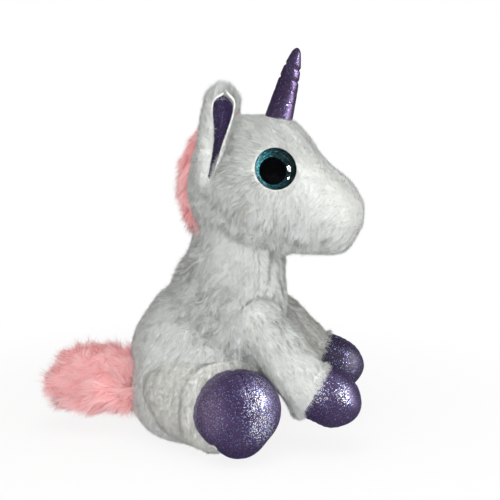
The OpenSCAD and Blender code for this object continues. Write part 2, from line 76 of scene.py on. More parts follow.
def areaLamp(name, power, start, size):
    lamp = bpy.data.lights.new(name, "AREA")
    lamp.color, lamp.energy, lamp.shape = studio["lampColor"], power, "RECTANGLE"
    lamp.size, lamp.size_y = scaled(size)
    obj = bpy.data.objects.new(name, lamp)
    obj.visible_glossy = name.startswith("window")
    obj.visible_diffuse = not obj.visible_glossy
    obj.visible_transmission = False
    aimed(obj, start, studio["lampsAt"])


# A socket is linked when it is fed another socket, and set when it is fed anything else.
def feed(socket, value):
    value = getattr(value, "socket", value)
    if isinstance(value, bpy.types.NodeSocket):
        socket.id_data.links.new(value, socket)
    elif socket.type == "RGBA" and len(value) == 3:
        socket.default_value = (*value, 1)
    else:
        socket.default_value = value


def put(tree, kind, values=None, **props):
    n = tree.nodes.new("ShaderNode" + kind)
    for k, v in props.items():
        setattr(n, k, v)
    for k, v in (values or {}).items():
        feed(n.inputs[k], v)
    return n


# Makes the function that sums two values with a Math node. Turned puts the second value first.
def calc(how, turned=False):
    def answer(a, b=0.0):
        first, second = (b, a) if turned else (a, b)
        return Number(put(a.tree, "Math", {0: first, 1: second}, operation=how).outputs[0])
    return answer


# A number in a node tree, so that a material's sums can be written as sums.
class Number:
    __add__, __sub__, __rsub__ = calc("ADD"), calc("SUBTRACT"), calc("SUBTRACT", turned=True)
    __mul__, __truediv__, __abs__ = calc("MULTIPLY"), calc("DIVIDE"), calc("ABSOLUTE")
    __lt__, __gt__ = calc("LESS_THAN"), calc("GREATER_THAN")

    def __init__(self, socket):
        self.socket, self.tree = socket, socket.id_data


larger = calc("MAXIMUM")


def apart(tree, vector):
    return [Number(s) for s in put(tree, "SeparateXYZ", {0: vector}).outputs]


def vectors(tree, how, a, b=None):
    return put(tree, "VectorMath", {0: a} if b is None else {0: a, 1: b}, operation=how).outputs[0]


def stretched(tree, vector, by):
    return put(tree, "VectorMath", {0: vector, "Scale": by}, operation="SCALE").outputs[0]


def length(tree, vector):
    return Number(put(tree, "VectorMath", {0: vector}, operation="LENGTH").outputs["Value"])


def ramp(tree, fac, stops, ease="LINEAR"):
    n = put(tree, "ValToRGB", {0: fac})
    n.color_ramp.interpolation = ease
    e = n.color_ramp.elements
    while len(e) < len(stops):
        e.new(0.5)
    for k, (pos, col) in enumerate(stops):
        e[k].position, e[k].color = pos, (*col, 1)
    return n.outputs[0]


def blendColor(tree, fac, a, b, how="MIX"):
    return put(tree, "Mix", {0: fac, 6: a, 7: b}, data_type="RGBA", blend_type=how).outputs[2]


def mixShader(tree, share, a, b):
    return put(tree, "MixShader", {0: share, 1: a, 2: b}).outputs[0]


def noise(tree, place, scale, **more):
    return put(tree, "TexNoise", {"Vector": place, "Scale": scale, **more}).outputs[0]


def makeStudio():
    scene = bpy.context.scene
    camera = bpy.data.objects.new("camera", bpy.data.cameras.new("camera"))
    camera.data.sensor_width = 36
    camera.data.lens = 18 / math.tan(math.radians(studio["viewAngle"] / 2))
    camera.data.clip_start, camera.data.clip_end = 0.01, 20
    aimed(camera, studio["cameraFrom"], studio["cameraAt"])
    scene.camera = camera
    scene.view_settings.view_transform = "Standard"
    for name, lamp in studio["lamps"].items():
        areaLamp(name, *lamp)

    # white for the camera, pale for the toy, and nearly dark for what its plastic mirrors
    scene.world = bpy.data.worlds.new("paleRoom")
    scene.world.use_nodes = True
    t = scene.world.node_tree
    t.nodes.clear()

    def glow(color, strength):
        return put(t, "Background", {"Color": color, "Strength": strength}).outputs[0]

    seen = glow((1, 1, 1), 1.0)
    room = glow(studio["room"], studio["ambient"])
    dim = glow(studio["reflected"], studio["mirrored"])
    ray = put(t, "LightPath").outputs
    mirror = mixShader(t, ray["Is Glossy Ray"], room, dim)
    put(t, "OutputWorld", {0: mixShader(t, ray["Is Camera Ray"], mirror, seen)})


# A material with its shader set, ready for its sockets to be fed.
def newMaterial(name, settings):
    m = bpy.data.materials.new(name)
    m.use_nodes = True
    t = m.node_tree
    t.nodes.clear()
    skin = put(t, "BsdfPrincipled", settings)
    out = put(t, "OutputMaterial", {"Surface": skin.outputs[0]})
    return m, t, skin.inputs, skin.outputs[0], out.inputs["Surface"]


def objectPlace(tree):
    return put(tree, "TexCoord").outputs["Object"]


def bumpFrom(tree, strength, distance, height):
    values = {"Strength": strength, "Distance": distance, "Height": height}
    return put(tree, "Bump", values).outputs[0]


# Pile colours. The darker root is painted shade, and the pink glow is painted light.
pileColors = {
    "white": {"root": (0.60, 0.575, 0.535), "middle": (0.80, 0.805, 0.795),
              "tip": (0.865, 0.885, 0.888), "dark": (0.56, 0.53, 0.49), "glow": 0.0},
    "pink": {"root": (0.94, 0.36, 0.36), "middle": (0.98, 0.52, 0.525),
             "tip": (0.99, 0.74, 0.745), "dark": (0.86, 0.68, 0.68), "glow": 0.11},
}


# Strand colour: v picks root, middle or tip, with the darker root painted shade, and u picks how
# dark the strand is. Some light passes through the strands, and the pink pile glows a little:
# painted light that brightens it.
def pileMaterial(name, c):
    m, t, skin, shader, surface = newMaterial(name, {
        "Roughness": 0.72, "Specular IOR Level": 0.25, "Sheen Weight": 0.18, "Sheen Roughness": 0.45,
        "Emission Strength": c["glow"]})
    u, v, _ = apart(t, put(t, "UVMap", uv_map="OFBake").outputs[0])
    along = ramp(t, v, [(0.0, c["root"]), (0.45, c["middle"]), (1.0, c["tip"])])
    shade = ramp(t, u, [(0.0, c["dark"]), (0.85, (0.98, 0.98, 0.98)), (1.0, (1, 1, 1))])
    feed(skin["Base Color"], blendColor(t, 1.0, along, shade, "MULTIPLY"))
    feed(skin["Emission Color"], along)
    through = put(t, "BsdfTranslucent", {"Color": along}).outputs[0]
    feed(surface, mixShader(t, 0.30, shader, through))
    return m


# The knitted backing that the pile stands on: fine crossed waves for the loops, and a mottled tone.
def backingMaterial(name, base, shadow):
    m, t, skin, *_ = newMaterial(name, {"Roughness": 0.9, "Sheen Weight": 0.3})
    place = objectPlace(t)
    speck = Number(noise(t, place, 420.0, Detail=3.0))
    broad = Number(noise(t, place, 60.0, Detail=2.0))
    feed(skin["Base Color"], ramp(t, speck * 0.6 + broad * 0.4, [(0.3, shadow), (0.62, base)]))
    rows = put(t, "TexWave", {"Vector": place, "Scale": 288.0, "Distortion": 3.0, "Detail": 1.0},
               wave_type="BANDS", bands_direction="DIAGONAL")
    feed(skin["Normal"], bumpFrom(t, 0.12, 0.0003, rows.outputs[0]))
    return m


# Printed knit with foil dots. Each small cell has its own tilt, tint and brightness, so single dots
# flash where the light falls. Inside the spots, (middle, radii), which are the same on both sides of
# the toy, more of the dots are pale and less metallic: a painted highlight. Inside the matt ones the
# dots are dull and paler, and the cloth is hardly metallic.
foil = {
    "ground": (0.050, 0.028, 0.085), "groundPale": (0.090, 0.056, 0.14), "groundMetal": 0.45,
    "metal": 0.75, "cell": 1750.0, "tilt": 0.42, "bare": 0.50, "rough": 0.50, "spots": [], "matt": [],
    "tints": [(0.0, (0.07, 0.045, 0.12)), (0.45, (0.15, 0.11, 0.27)), (0.62, (0.20, 0.24, 0.52)),
              (0.80, (0.42, 0.50, 0.80)), (0.92, (0.75, 0.70, 0.66)), (1.0, (0.90, 0.92, 1.0))],
    "dull": [(0.0, (0.055, 0.045, 0.065)), (0.5, (0.12, 0.10, 0.13)), (1.0, (0.30, 0.26, 0.31))],
}


# The share of a place that lies in any of the spots: 1 in a spot's middle, eased to 0 at its radii.
def spotShare(tree, place, spots):
    share = Number(put(tree, "Value").outputs[0])
    share.socket.default_value = 0.0
    for middle, radii in spots:
        local = vectors(tree, "SUBTRACT", place, scaled(middle))
        local = vectors(tree, "DIVIDE", local, scaled(radii))
        near = put(tree, "MapRange", {"Value": length(tree, local), "From Min": 0.0, "From Max": 1.0,
                                      "To Min": 1.0, "To Max": 0.0}, interpolation_type="SMOOTHSTEP")
        share = larger(Number(near.outputs[0]), share)
    return share


# Turns a shading normal by a cell's own colour, less grey, times a share.
def leaning(tree, normal, color, share):
    lean = stretched(tree, vectors(tree, "SUBTRACT", color, (0.5, 0.5, 0.5)), share)
    return vectors(tree, "NORMALIZE", vectors(tree, "ADD", normal, lean))


def glitterMaterial(name, c):
    m, t, skin, *_ = newMaterial(name, {
        "Coat Weight": 0.12, "Coat Roughness": 0.35, "Sheen Weight": 0.16, "Sheen Roughness": 0.3,
        "Sheen Tint": (0.50, 0.34, 0.95)})
    place = objectPlace(t)
    x, y, z = apart(t, place)
    folded = put(t, "CombineXYZ", {0: x, 1: abs(y) * -1.0, 2: z}).outputs[0]
    # the share inside the spots is a painted highlight
    paintedGlint, matt = spotShare(t, folded, c["spots"]), spotShare(t, folded, c["matt"])
    cells = put(t, "TexVoronoi", {"Vector": place, "Scale": c["cell"], "Randomness": 0.85}).outputs
    chance, tint, _ = apart(t, cells["Color"])
    dot = Number(cells["Distance"]) < 0.48
    isDot = dot * (chance > c["bare"] - paintedGlint * 0.45)
    broad = noise(t, place, 38.0, Detail=2.0, Roughness=0.5)
    ground = ramp(t, broad, [(0.36, c["ground"]), (0.70, c["groundPale"])])
    level = tint * (paintedGlint * 0.2 + 0.80) + paintedGlint * 0.42
    shiny = blendColor(t, isDot, ground, ramp(t, level, c["tints"]))
    dull = blendColor(t, dot, ground, ramp(t, tint, c["dull"]))
    feed(skin["Base Color"], blendColor(t, matt, shiny, dull))
    dotMetal = c["metal"] - paintedGlint * (c["metal"] * 0.75)
    metal = isDot * (dotMetal - c["groundMetal"]) + c["groundMetal"]
    feed(skin["Metallic"], metal * (1.0 - matt * 0.8))
    feed(skin["Roughness"], c["rough"] - isDot * 0.22)
    bump = bumpFrom(t, 0.25, 0.0002, cells["Distance"])
    feed(skin["Normal"], leaning(t, bump, cells["Color"], isDot * c["tilt"]))
    return m


# Stuffing: crimped fibre, a noise stretched into short threads.
def fibreMaterial(name, base):
    m, t, skin, *_ = newMaterial(name, {"Roughness": 0.95})
    place = objectPlace(t)
    warp = put(t, "TexNoise", {"Vector": place, "Scale": 90.0, "Detail": 2.0}).outputs["Color"]
    thread = put(t, "TexWave", {"Vector": vectors(t, "ADD", place, warp), "Scale": 120.0,
                                "Distortion": 12.0, "Detail": 3.0}).outputs[0]
    feed(skin["Base Color"], ramp(t, thread, [(0.0, tuple(v * 0.8 for v in base)), (1.0, base)]))
    feed(skin["Normal"], bumpFrom(t, 0.6, 0.0005, thread))
    return m


# Plain woven cotton for the bead bag, with the beads showing as soft bumps.
def bagMaterial(name):
    m, t, skin, *_ = newMaterial(name, {"Roughness": 0.85})
    place = objectPlace(t)
    bead = Number(put(t, "TexVoronoi", {"Vector": place, "Scale": 330.0}).outputs["Distance"])
    weave = put(t, "TexWave", {"Vector": place, "Scale": 500.0},
                wave_type="BANDS", bands_direction="X")
    cotton = [(0.0, (0.60, 0.60, 0.58)), (1.0, (0.76, 0.76, 0.74))]
    feed(skin["Base Color"], ramp(t, weave.outputs[0], cotton))
    feed(skin["Normal"], bumpFrom(t, 0.8, 0.001, 1.0 - bead))
    return m


def plasticMaterial(name, base, rough, grain):
    m, t, skin, *_ = newMaterial(name, {"Roughness": rough})
    haze = noise(t, objectPlace(t), 260.0, Detail=2.0)
    feed(skin["Base Color"], ramp(t, haze, [(0.35, tuple(v * 0.9 for v in base)), (0.7, base)]))
    feed(skin["Normal"], bumpFrom(t, grain, 0.0002, haze))
    return m


flakeTints = [(0.0, (0.003, 0.008, 0.010)), (0.35, (0.008, 0.034, 0.040)), (0.60, (0.014, 0.14, 0.17)),
              (0.82, (0.08, 0.46, 0.53)), (1.0, (0.55, 0.92, 0.95))]


# The teal ring under the lens: fine flakes, darker at the rim, with painted light that makes it
# brighter low at the back and darker up at the front, as where the dome gathers the light. Inside the
# ink spot (middle, radius) it is painted black, and so is all that lies deeper than the given depth
# along the eye's own way out.
def irisMaterial(name, middle, radius, ink, wayOut, depth):
    m, t, skin, *_ = newMaterial(name, {"Roughness": 0.35})
    place = objectPlace(t)
    local = vectors(t, "SUBTRACT", place, scaled(middle))
    x, _, z = apart(t, local)
    flakes = put(t, "TexVoronoi", {"Vector": place, "Scale": 2100.0}).outputs["Color"]
    # painted light: brighter low at the back, darker up at the front
    paintedCaustic = (x * -0.92 + z * -0.18) / (radius * mm)
    light = paintedCaustic * 0.46 + apart(t, flakes)[0] * 0.52 + 0.10
    rim = ramp(t, length(t, local) / (radius * mm), [(0.80, (1, 1, 1)), (0.97, (0.25, 0.25, 0.28))])
    spot = vectors(t, "SUBTRACT", place, scaled(ink[0]))
    deep = Number(put(t, "VectorMath", {0: spot, 1: wayOut}, operation="DOT_PRODUCT").outputs["Value"])
    beside = length(t, vectors(t, "SUBTRACT", spot, stretched(t, wayOut, deep)))
    black = larger(beside < ink[1] * mm, deep < depth * mm)
    teal = blendColor(t, 1.0, ramp(t, light, flakeTints), rim, "MULTIPLY")
    feed(skin["Base Color"], blendColor(t, black, teal, (0.0015, 0.0015, 0.002)))
    feed(skin["Metallic"], (1.0 - black) * 0.55)
    feed(skin["Specular IOR Level"], (1.0 - black) * 0.5)
    facing = put(t, "NewGeometry").outputs["Normal"]
    feed(skin["Normal"], leaning(t, facing, flakes, 0.5))
    return m


# Clear dome: glass for what is seen, and open to the light that falls through it.
def lensMaterial(name):
    m, t, _, shader, surface = newMaterial(name, {
        "Base Color": (0.98, 1.0, 1.0), "Roughness": 0.02, "IOR": 1.46, "Transmission Weight": 1.0})
    clear = put(t, "BsdfTransparent").outputs[0]
    feed(surface, mixShader(t, put(t, "LightPath").outputs["Is Shadow Ray"], shader, clear))
    return m


# A white floor: it glows evenly for the camera, keeps a pale shadow near the toy, and is dark in
# what the plastic mirrors.
def makeFloor():
    s = 6.0
    corners = np.array([[-s, -s, 0], [s, -s, 0], [s, s, 0], [-s, s, 0]])
    obj = finishMesh("floor", corners, [[0, 1, 2, 3]], smooth=False)
    obj.location.z = -0.0002
    m, t, skin, shader, surface = newMaterial("paleFloor", {
        "Roughness": 0.9, "Specular IOR Level": 0.1})
    ray = put(t, "LightPath").outputs
    tone = blendColor(t, ray["Is Glossy Ray"], (0.80, 0.80, 0.80), (0.04, 0.04, 0.05))
    feed(skin["Base Color"], tone)
    glow = put(t, "Emission", {"Color": (1, 1, 1), "Strength": 1.0}).outputs[0]
    shaded = put(t, "BsdfDiffuse", {"Color": (0.9, 0.9, 0.9)}).outputs[0]
    reach = length(t, objectPlace(t))
    near = ramp(t, reach, [(0.10, (0.16, 0.16, 0.16)), (0.32, (0, 0, 0))], "EASE")
    seen = larger(Number(ray["Is Camera Ray"]), ray["Is Transmission Ray"])
    feed(surface, mixShader(t, seen, shader, mixShader(t, near, glow, shaded)))
    dress(obj, m)


def unit(v):
    return v / np.maximum(np.linalg.norm(v, axis=-1, keepdims=True), 1e-9)


def vec(x, y, z):
    return np.stack([x, y, z], -1)


def clip01(x):
    return np.clip(x, 0, 1)


# How wide a quarter circle is: 1 at x = 0, and falling to 0 at x = 1.
def dome(x):
    return np.sqrt(clip01(1 - clip01(x) ** 2))


def bell(x, width):
    return np.exp(-(x / width) ** 2)


# Even steps of u and v over the unit square, handed to the surface function as two arrays.
def gridOf(surface, nu, nv, uEnds=(0, 1), vEnds=(0, 1)):
    u, v = np.meshgrid(np.linspace(*uEnds, nu), np.linspace(*vEnds, nv), indexing="ij")
    return surface(u, v)


# The running mean of a table, so that its corners are rounded over a width of 2 * soft.
def smoothTable(x, xs, ys, soft):
    steps = np.linspace(-soft, soft, 9)
    return np.mean([np.interp(x + s, xs, ys) for s in steps], axis=0)


# A sum of plane waves of about one wavelength in random directions: a smooth field between -1 and 1.
def drift(p, wavelength, seed, count=10):
    rng = np.random.default_rng(seed)
    ways = unit(rng.normal(size=(count, 3)))
    ways = ways * (2 * np.pi / (wavelength * rng.uniform(0.7, 1.5, (count, 1))))
    phases = rng.uniform(0, 2 * np.pi, count)
    return sum(np.sin(p @ way + phase) for way, phase in zip(ways, phases)) / math.sqrt(count / 2)


def driftVector(p, wavelength, seed):
    return np.stack([drift(p, wavelength, seed + i) for i in range(3)], -1)


# Normals of a grid of points: the cross product of its two gradients, turned to point away from
# the grid's own middle.
def gridNormals(p, wrap=False):
    q = np.concatenate([p[-2:-1], p, p[1:2]], 0)
    du = q[2:] - q[:-2] if wrap else np.gradient(p, axis=0)
    n = unit(np.cross(du, np.gradient(p, axis=1)))
    away = (n * (p - p.reshape(-1, 3).mean(0))).sum()
    return (n, 1) if away > 0 else (-n, -1)


def placed(name, mesh):
    obj = bpy.data.objects.new(name, mesh)
    bpy.context.scene.collection.objects.link(obj)
    return obj


def finishMesh(name, verts, faces, smooth=True):
    mesh = bpy.data.meshes.new(name)
    mesh.from_pydata(verts.tolist(), [], faces)
    mesh.update()
    mesh.polygons.foreach_set("use_smooth", np.full(len(mesh.polygons), smooth))
    return placed(name, mesh)


# A grid of points becomes quads that face outwards. A wrapped grid joins its first and last columns,
# and rings that have shrunk to a point are merged. A wall may be laid inside it.
def gridMesh(name, p, wrap=False, wall=0.0):
    turned = gridNormals(p, wrap)[1] < 0
    q = p[:-1] if wrap else p
    nu, nv = q.shape[:2]
    i, j = np.meshgrid(np.arange(nu if wrap else nu - 1), np.arange(nv - 1), indexing="ij")
    k = (i + 1) % nu
    faces = np.stack([i * nv + j, k * nv + j, k * nv + j + 1, i * nv + j + 1], -1).reshape(-1, 4)
    obj = finishMesh(name, q.reshape(-1, 3) * mm, (faces[:, ::-1] if turned else faces).tolist())
    bm = bmesh.new()
    bm.from_mesh(obj.data)
    bmesh.ops.remove_doubles(bm, verts=bm.verts, dist=2e-6)
    bmesh.ops.dissolve_degenerate(bm, edges=bm.edges, dist=1e-7)
    bm.to_mesh(obj.data)
    bm.free()
    if wall:
        m = obj.modifiers.new("wall", "SOLIDIFY")
        m.thickness, m.offset, m.use_even_offset = wall * mm, -1, False
    return obj


def dress(obj, material):
    obj.data.materials.clear()
    obj.data.materials.append(material)


# For each root, the nearest of a set of jittered lattice points, which gives the middle of its tuft.
# The jitter of a lattice point is read from ten bits each of its hashed place.
def tuftMiddle(p, size, seed):
    cell = np.floor(p / size).astype(np.int64)
    best = np.full(len(p), np.inf)
    middle = p.copy()
    for step in np.ndindex(3, 3, 3):
        c = cell + np.array(step) - 1
        mixed = np.bitwise_xor.reduce(c * hair["hashes"], 1) ^ (seed * hair["seedHash"])
        q = (c + vec(*[((mixed >> s) & 1023) / 1023.0 for s in (3, 13, 23)])) * size
        d = ((q - p) ** 2).sum(1)
        near = d < best
        best[near], middle[near] = d[near], q[near]
    return middle


# Roots are scattered over a grid in proportion to its area times a share between 0 and 1, and each
# grows a strand.
def pile(name, p, look, flow, share=None, wrap=False, seed=1):
    rng = np.random.default_rng(seed)
    n = gridNormals(p, wrap)[0]
    a, b, c, d = p[:-1, :-1], p[1:, :-1], p[1:, 1:], p[:-1, 1:]
    area = 0.5 * np.linalg.norm(np.cross(c - a, d - b), axis=-1)
    weight = (area * (share((a + b + c + d) / 4) if share else 1.0)).ravel()
    count = int(weight.sum() * look["perArea"])
    i, j = np.unravel_index(rng.choice(len(weight), count, p=weight / weight.sum()), area.shape)
    s, t = rng.random((2, count, 1))

    def within(g):
        return (g[i, j] * (1 - s) * (1 - t) + g[i + 1, j] * s * (1 - t)
                + g[i + 1, j + 1] * s * t + g[i, j + 1] * (1 - s) * t)

    root, normal = within(p), unit(within(n))
    points, *lie = strandPoints(root, normal, look, flow, rng, seed)
    print("   ", name, count, "strands")
    return strandMesh(name, points, *strandTones(root, normal, look, *lie, rng, seed))


# Fine streaks that run with the pile: a short drift, averaged over a few places along each heading.
def streaks(root, along, seed):
    mean = sum(drift(root + along * t, 1.35, seed, 16) for t in np.linspace(-2.4, 2.4, 7)) / 7
    return mean / mean.std()


# What all strands share: spreads of length and width, how much longer and wider a guard hair is and
# how bright, a painted glint, how far a root is sunk, how much a blade narrows at each step, and how
# far blades turn and speckle.
hair = {
    "lengths": (0.70, 1.12), "widths": (0.35, 0.60), "guardLength": 1.15, "guardWidth": 2.1,
    "guardGlintTone": 0.98, "sunk": 0.4, "narrowing": 0.18, "turn": 0.5, "lowest": 0.15, "speckle": 0.13,
    "leanNoise": 0.12, "tuftWays": [[1.7, 2.9, 0.6], [2.3, -1.1, 1.9], [-0.7, 2.1, 2.6]],
    "hashes": [73856093, 19349663, 83492791], "seedHash": 2654435761,
}


# Each strand is a tapered blade of a few steps. It leaves the surface at the angle rise, measured
# from the normal, and bends down towards the flow. Its heading drifts with its neighbours, and it is
# drawn to the middle of its tuft. Guard hairs are coarser and longer, and brighter as a painted glint.
def strandPoints(root, normal, look, flow, rng, seed):
    count, steps = len(root), look["steps"]
    length, rise, ruffle = look["shape"](root)
    length = length * rng.uniform(*hair["lengths"], count)
    ruffled = clip01(ruffle)[:, None]
    guard = rng.random(count) < look["guard"] * (0.35 + 0.65 * ruffled[:, 0])
    length = length * np.where(guard, hair["guardLength"], 1.0)

    along, size, sway = flow(root, normal), look["driftSize"], look["sway"]
    along = along + driftVector(root, size, seed + 50) * sway * (0.25 + 1.3 * ruffled)
    along = along + driftVector(root, size * 0.33, seed + 70) * sway * (0.15 + 0.95 * ruffled)
    along = along + rng.normal(size=(count, 3)) * look["stray"]
    along = unit(along - (along * normal).sum(1, keepdims=True) * normal)
    side = np.cross(along, normal)
    start = np.radians(rise + rng.normal(size=count) * look["riseSpread"])[:, None]
    end = np.pi / 2 - (np.pi / 2 - start) * look["lay"]

    tuft = tuftMiddle(root, look["tuftSize"], seed)
    pull = tuft - root
    pull -= (pull * normal).sum(1, keepdims=True) * normal
    pull = pull * look["tuftPull"] * (0.35 + 0.65 * ruffled)
    turn = rng.normal(size=(count, 1)) * hair["turn"]
    half = look["width"] * rng.uniform(*hair["widths"], (count, 1))
    half = half * np.where(guard, hair["guardWidth"], 1.0)[:, None]

    place = root - normal * hair["sunk"]
    rungs, headings = [place], []
    for k in range(steps):
        bend = start + (end - start) * (k / max(1, steps - 1))
        heading = np.cos(bend) * normal + np.sin(bend) * along
        if "wave" in look:
            heading = unit(heading + driftVector(place, look["waveSize"], seed + 90) * look["wave"])
            heading = unit(heading - upWay * look["droop"] * k / steps)
        headings.append(heading)
        place = place + heading * length[:, None] / steps
        rungs.append(place + pull * ((k + 1) / steps) ** 1.5)
    across = unit(side * np.cos(turn) + np.cross(headings[0], side) * np.sin(turn)) * half
    points = [rungs[k] + way * across * (1 - hair["narrowing"] * k)
              for k in range(steps) for way in (-1, 1)]
    points = np.stack(points + [rungs[steps]], 1)
    points[..., 2] = np.maximum(points[..., 2], hair["lowest"])
    return points, along, side, tuft, ruffled, guard


# A shading normal and a tone for each strand. The normals lean by tuft, by streak and a little at
# random, and the tones darken in wrinkles and between tufts: painted shade where the pile shades
# itself.
def strandTones(root, normal, look, along, side, tuft, ruffled, guard, rng, seed):
    count, ruffle = len(root), ruffled[:, 0]
    wave = np.sin(tuft @ np.array(hair["tuftWays"]))
    streak = streaks(root, along, seed + 41) * (0.55 + 0.75 * ruffle) * look["streak"]
    lean = normal + upWay * look["lift"] + driftVector(root, 3.4, seed + 35) * look["grain"] * 1.3
    lean = lean + side * (streak * 1.6)[:, None] + wave * (look["tilt"] * (0.30 + 1.5 * ruffled))
    lean = unit(lean + rng.normal(size=(count, 3)) * hair["leanNoise"])
    tone = look["tone"] + 0.06 * wave[:, 0] + look["grain"] * drift(root, 2.3, seed + 33) + streak
    # painted shade between tufts, and in the wrinkles below
    paintedGapShade = ruffle * (0.16 + 0.50 * np.maximum(0, wave[:, 1]))
    tone = tone - wrinkleDepth(root) * look["fold"] - paintedGapShade
    tone = tone + rng.normal(size=count) * hair["speckle"]
    return lean, np.where(guard, hair["guardGlintTone"], np.clip(tone, 0.01, 0.985))


# Quads up each blade and a triangle at its tip, written straight into the mesh. In its UV map, u is
# one column for each strand's tone, and v runs from root to tip.
def strandMesh(name, points, leans, tones):
    count, each = points.shape[:2]
    steps = each // 2
    rung = 2 * np.arange(steps - 1)[:, None] + np.array([[0, 1, 3, 2]])
    corners = np.concatenate([rung.ravel(), 2 * (steps - 1) + np.arange(3)])
    first = np.arange(count)[:, None]
    loops = (first * each + corners).ravel()
    starts = (first * len(corners) + np.arange(steps) * 4).ravel()
    mesh = bpy.data.meshes.new(name)
    mesh.vertices.add(count * each)
    mesh.vertices.foreach_set("co", (points.reshape(-1) * mm).astype(np.float32))
    mesh.loops.add(len(loops))
    mesh.loops.foreach_set("vertex_index", loops.astype(np.int32))
    mesh.polygons.add(count * steps)
    mesh.polygons.foreach_set("loop_start", starts.astype(np.int32))
    mesh.polygons.foreach_set("use_smooth", np.ones(count * steps, bool))
    mesh.update(calc_edges=True)
    us = tones[:, None] + 0.004 * (corners % 2) * (corners < each - 1)
    heights = np.append(np.repeat(np.arange(steps) / steps, 2) + 0.01, 0.99)
    vs = np.tile(heights[corners], (count, 1))
    uv = mesh.uv_layers.new(name="OFBake")
    uv.data.foreach_set("uv", np.stack([us, vs], -1).ravel().astype(np.float32))
    mesh.normals_split_custom_set_from_vertices(np.repeat(leans, each, axis=0).tolist())
    return placed(name, mesh)


def ease(u):
    u = clip01(u)
    return u * u * (3 - 2 * u)


def onRight(p):
    return vec(p[..., 0], -np.abs(p[..., 1]), p[..., 2])


# A soft patch of influence: a bell over an ellipsoid, the same on both sides of the toy.
def patch(p, middle, radii):
    return np.exp(-(((onRight(p) - np.array(middle)) / np.array(radii)) ** 2).sum(-1))


# The strongest of several patches, each given as (share, middle, radii).
def patches(p, spots):
    return np.maximum.reduce([share * patch(p, middle, radii) for share, middle, radii in spots])


def heading(*v):
    return lambda root, normal: np.broadcast_to(np.array(v, float), root.shape)


# Mirrors points drawn on the right side, and turns them about a line along Y through a pivot.
def setOn(p, side, pivot=(0, 0, 0), degrees=0.0):
    c, s = math.cos(math.radians(degrees)), math.sin(math.radians(degrees))
    x, z = p[..., 0] - pivot[0], p[..., 2] - pivot[2]
    return vec(pivot[0] + x * c + z * s, -side * p[..., 1], pivot[2] - x * s + z * c)


# Points on a circle of radius r round a middle, at the angle a from x towards y.
def around(middle, r, a, x, y):
    return middle + (r * np.cos(a))[..., None] * x + (r * np.sin(a))[..., None] * y


# Depth of points under the surface of a tapered tube with round ends, positive inside.
def insideTube(p, a, b, ra, rb):
    a, b = np.array(a, float), np.array(b, float)
    t = clip01(((p - a) @ (b - a)) / ((b - a) @ (b - a)))
    d = np.linalg.norm(p - (a + t[..., None] * (b - a)), axis=-1)
    return ra + (rb - ra) * t - d


# A tube along a path of rings: centre, radius and a fixed sideways vector give each ring a frame
# square to the path.
def tubeSurface(path, radius, sideways, u):
    y = unit(np.broadcast_to(np.array(sideways, float), path.shape))
    x = unit(np.cross(y, unit(np.gradient(path, axis=-2))))
    a = 2 * np.pi * u[..., None]
    return path + radius[..., None] * (np.cos(a) * x + np.sin(a) * y)


def thinRoll(path, radius, sideways):
    turn = np.repeat(np.linspace(0, 1, 9)[:, None], len(path), 1)
    paths = np.broadcast_to(path, (9, *path.shape))
    return tubeSurface(paths, np.broadcast_to(radius, turn.shape), sideways, turn)


# A piece rides on one body, or, given as (body, body, start, end) between two, has its place baked
# into its mesh. It may stand for a CAD node, which is then hidden.
def finish(piece, kind, on, stands=None):
    dress(piece, kind)
    if stands:
        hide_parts(stands)
    if isinstance(on, tuple):
        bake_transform(piece)
    else:
        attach(piece, on)


# A pelt is two pieces over one surface: the cloth's backing, which stands for a CAD node, and the
# pile.
def pelt(cloth, fur, p, node, look, flow, seed, on, share=None, dye="white", slotName=None, wrap=False,
         wall=1.2):
    slotName = slotName or dye + "_pile"
    finish(gridMesh(cloth, p, wrap, wall), backings[dye], on, node)
    finish(pile(fur, p, look, flow, share, wrap, seed), piles[dye], on)


makeStudio()
makeFloor()
print("studio ready")

piles = {dye: pileMaterial(dye + "Pile", colors) for dye, colors in pileColors.items()}
backings = {"white": backingMaterial("whiteBacking", (0.76, 0.755, 0.735), (0.58, 0.565, 0.54)),
            "pink": backingMaterial("pinkBacking", (0.90, 0.42, 0.42), (0.75, 0.28, 0.28))}
# On the hooves the spots are painted highlights, where the windows glint on the foil.
hoofCloth = glitterMaterial("hoofGlitter", dict(
    foil, spots=[((36.2, -58.6, 35.6), (12.5, 40.0, 18.0)), ((38.3, -60.2, 21.5), (12.0, 40.0, 19.0))],
    matt=[((10.9, -60.7, 31.5), (13.0, 40.0, 26.0))]))
# painted shade: the left front hoof's glitter is darker, duller and has fewer dots, as it stands in
# the shade of the toy. The spots on both front hooves are painted highlights.
frontCloths = {
    "left": glitterMaterial("frontHoofGlitter_left", dict(
        foil, bare=0.66, metal=0.45, groundMetal=0.25, rough=0.62, ground=(0.026, 0.015, 0.042),
        groundPale=(0.050, 0.030, 0.078), spots=[((81.0, -38.0, 36.0), (7.0, 14.0, 8.0))])),
    "right": glitterMaterial("frontHoofGlitter", dict(
        foil, spots=[((68.6, -38.0, 35.3), (8.5, 14.0, 11.0)),
                     ((79.6, -40.0, 35.6), (7.5, 14.0, 10.0))])),
}
hornCloth = glitterMaterial("hornGlitter", dict(
    foil, cell=1800.0, bare=0.62, groundMetal=0.75, rough=0.42, ground=(0.10, 0.062, 0.14),
    groundPale=(0.15, 0.10, 0.20)))
# the spot on the lining is a painted highlight
liningCloth = glitterMaterial("liningGlitter", dict(
    foil, cell=1700.0, bare=0.34, rough=0.42, ground=(0.055, 0.036, 0.088),
    spots=[((12.0, -42.0, 184.0), (9.0, 9.0, 10.0))]))
print("materials ready")

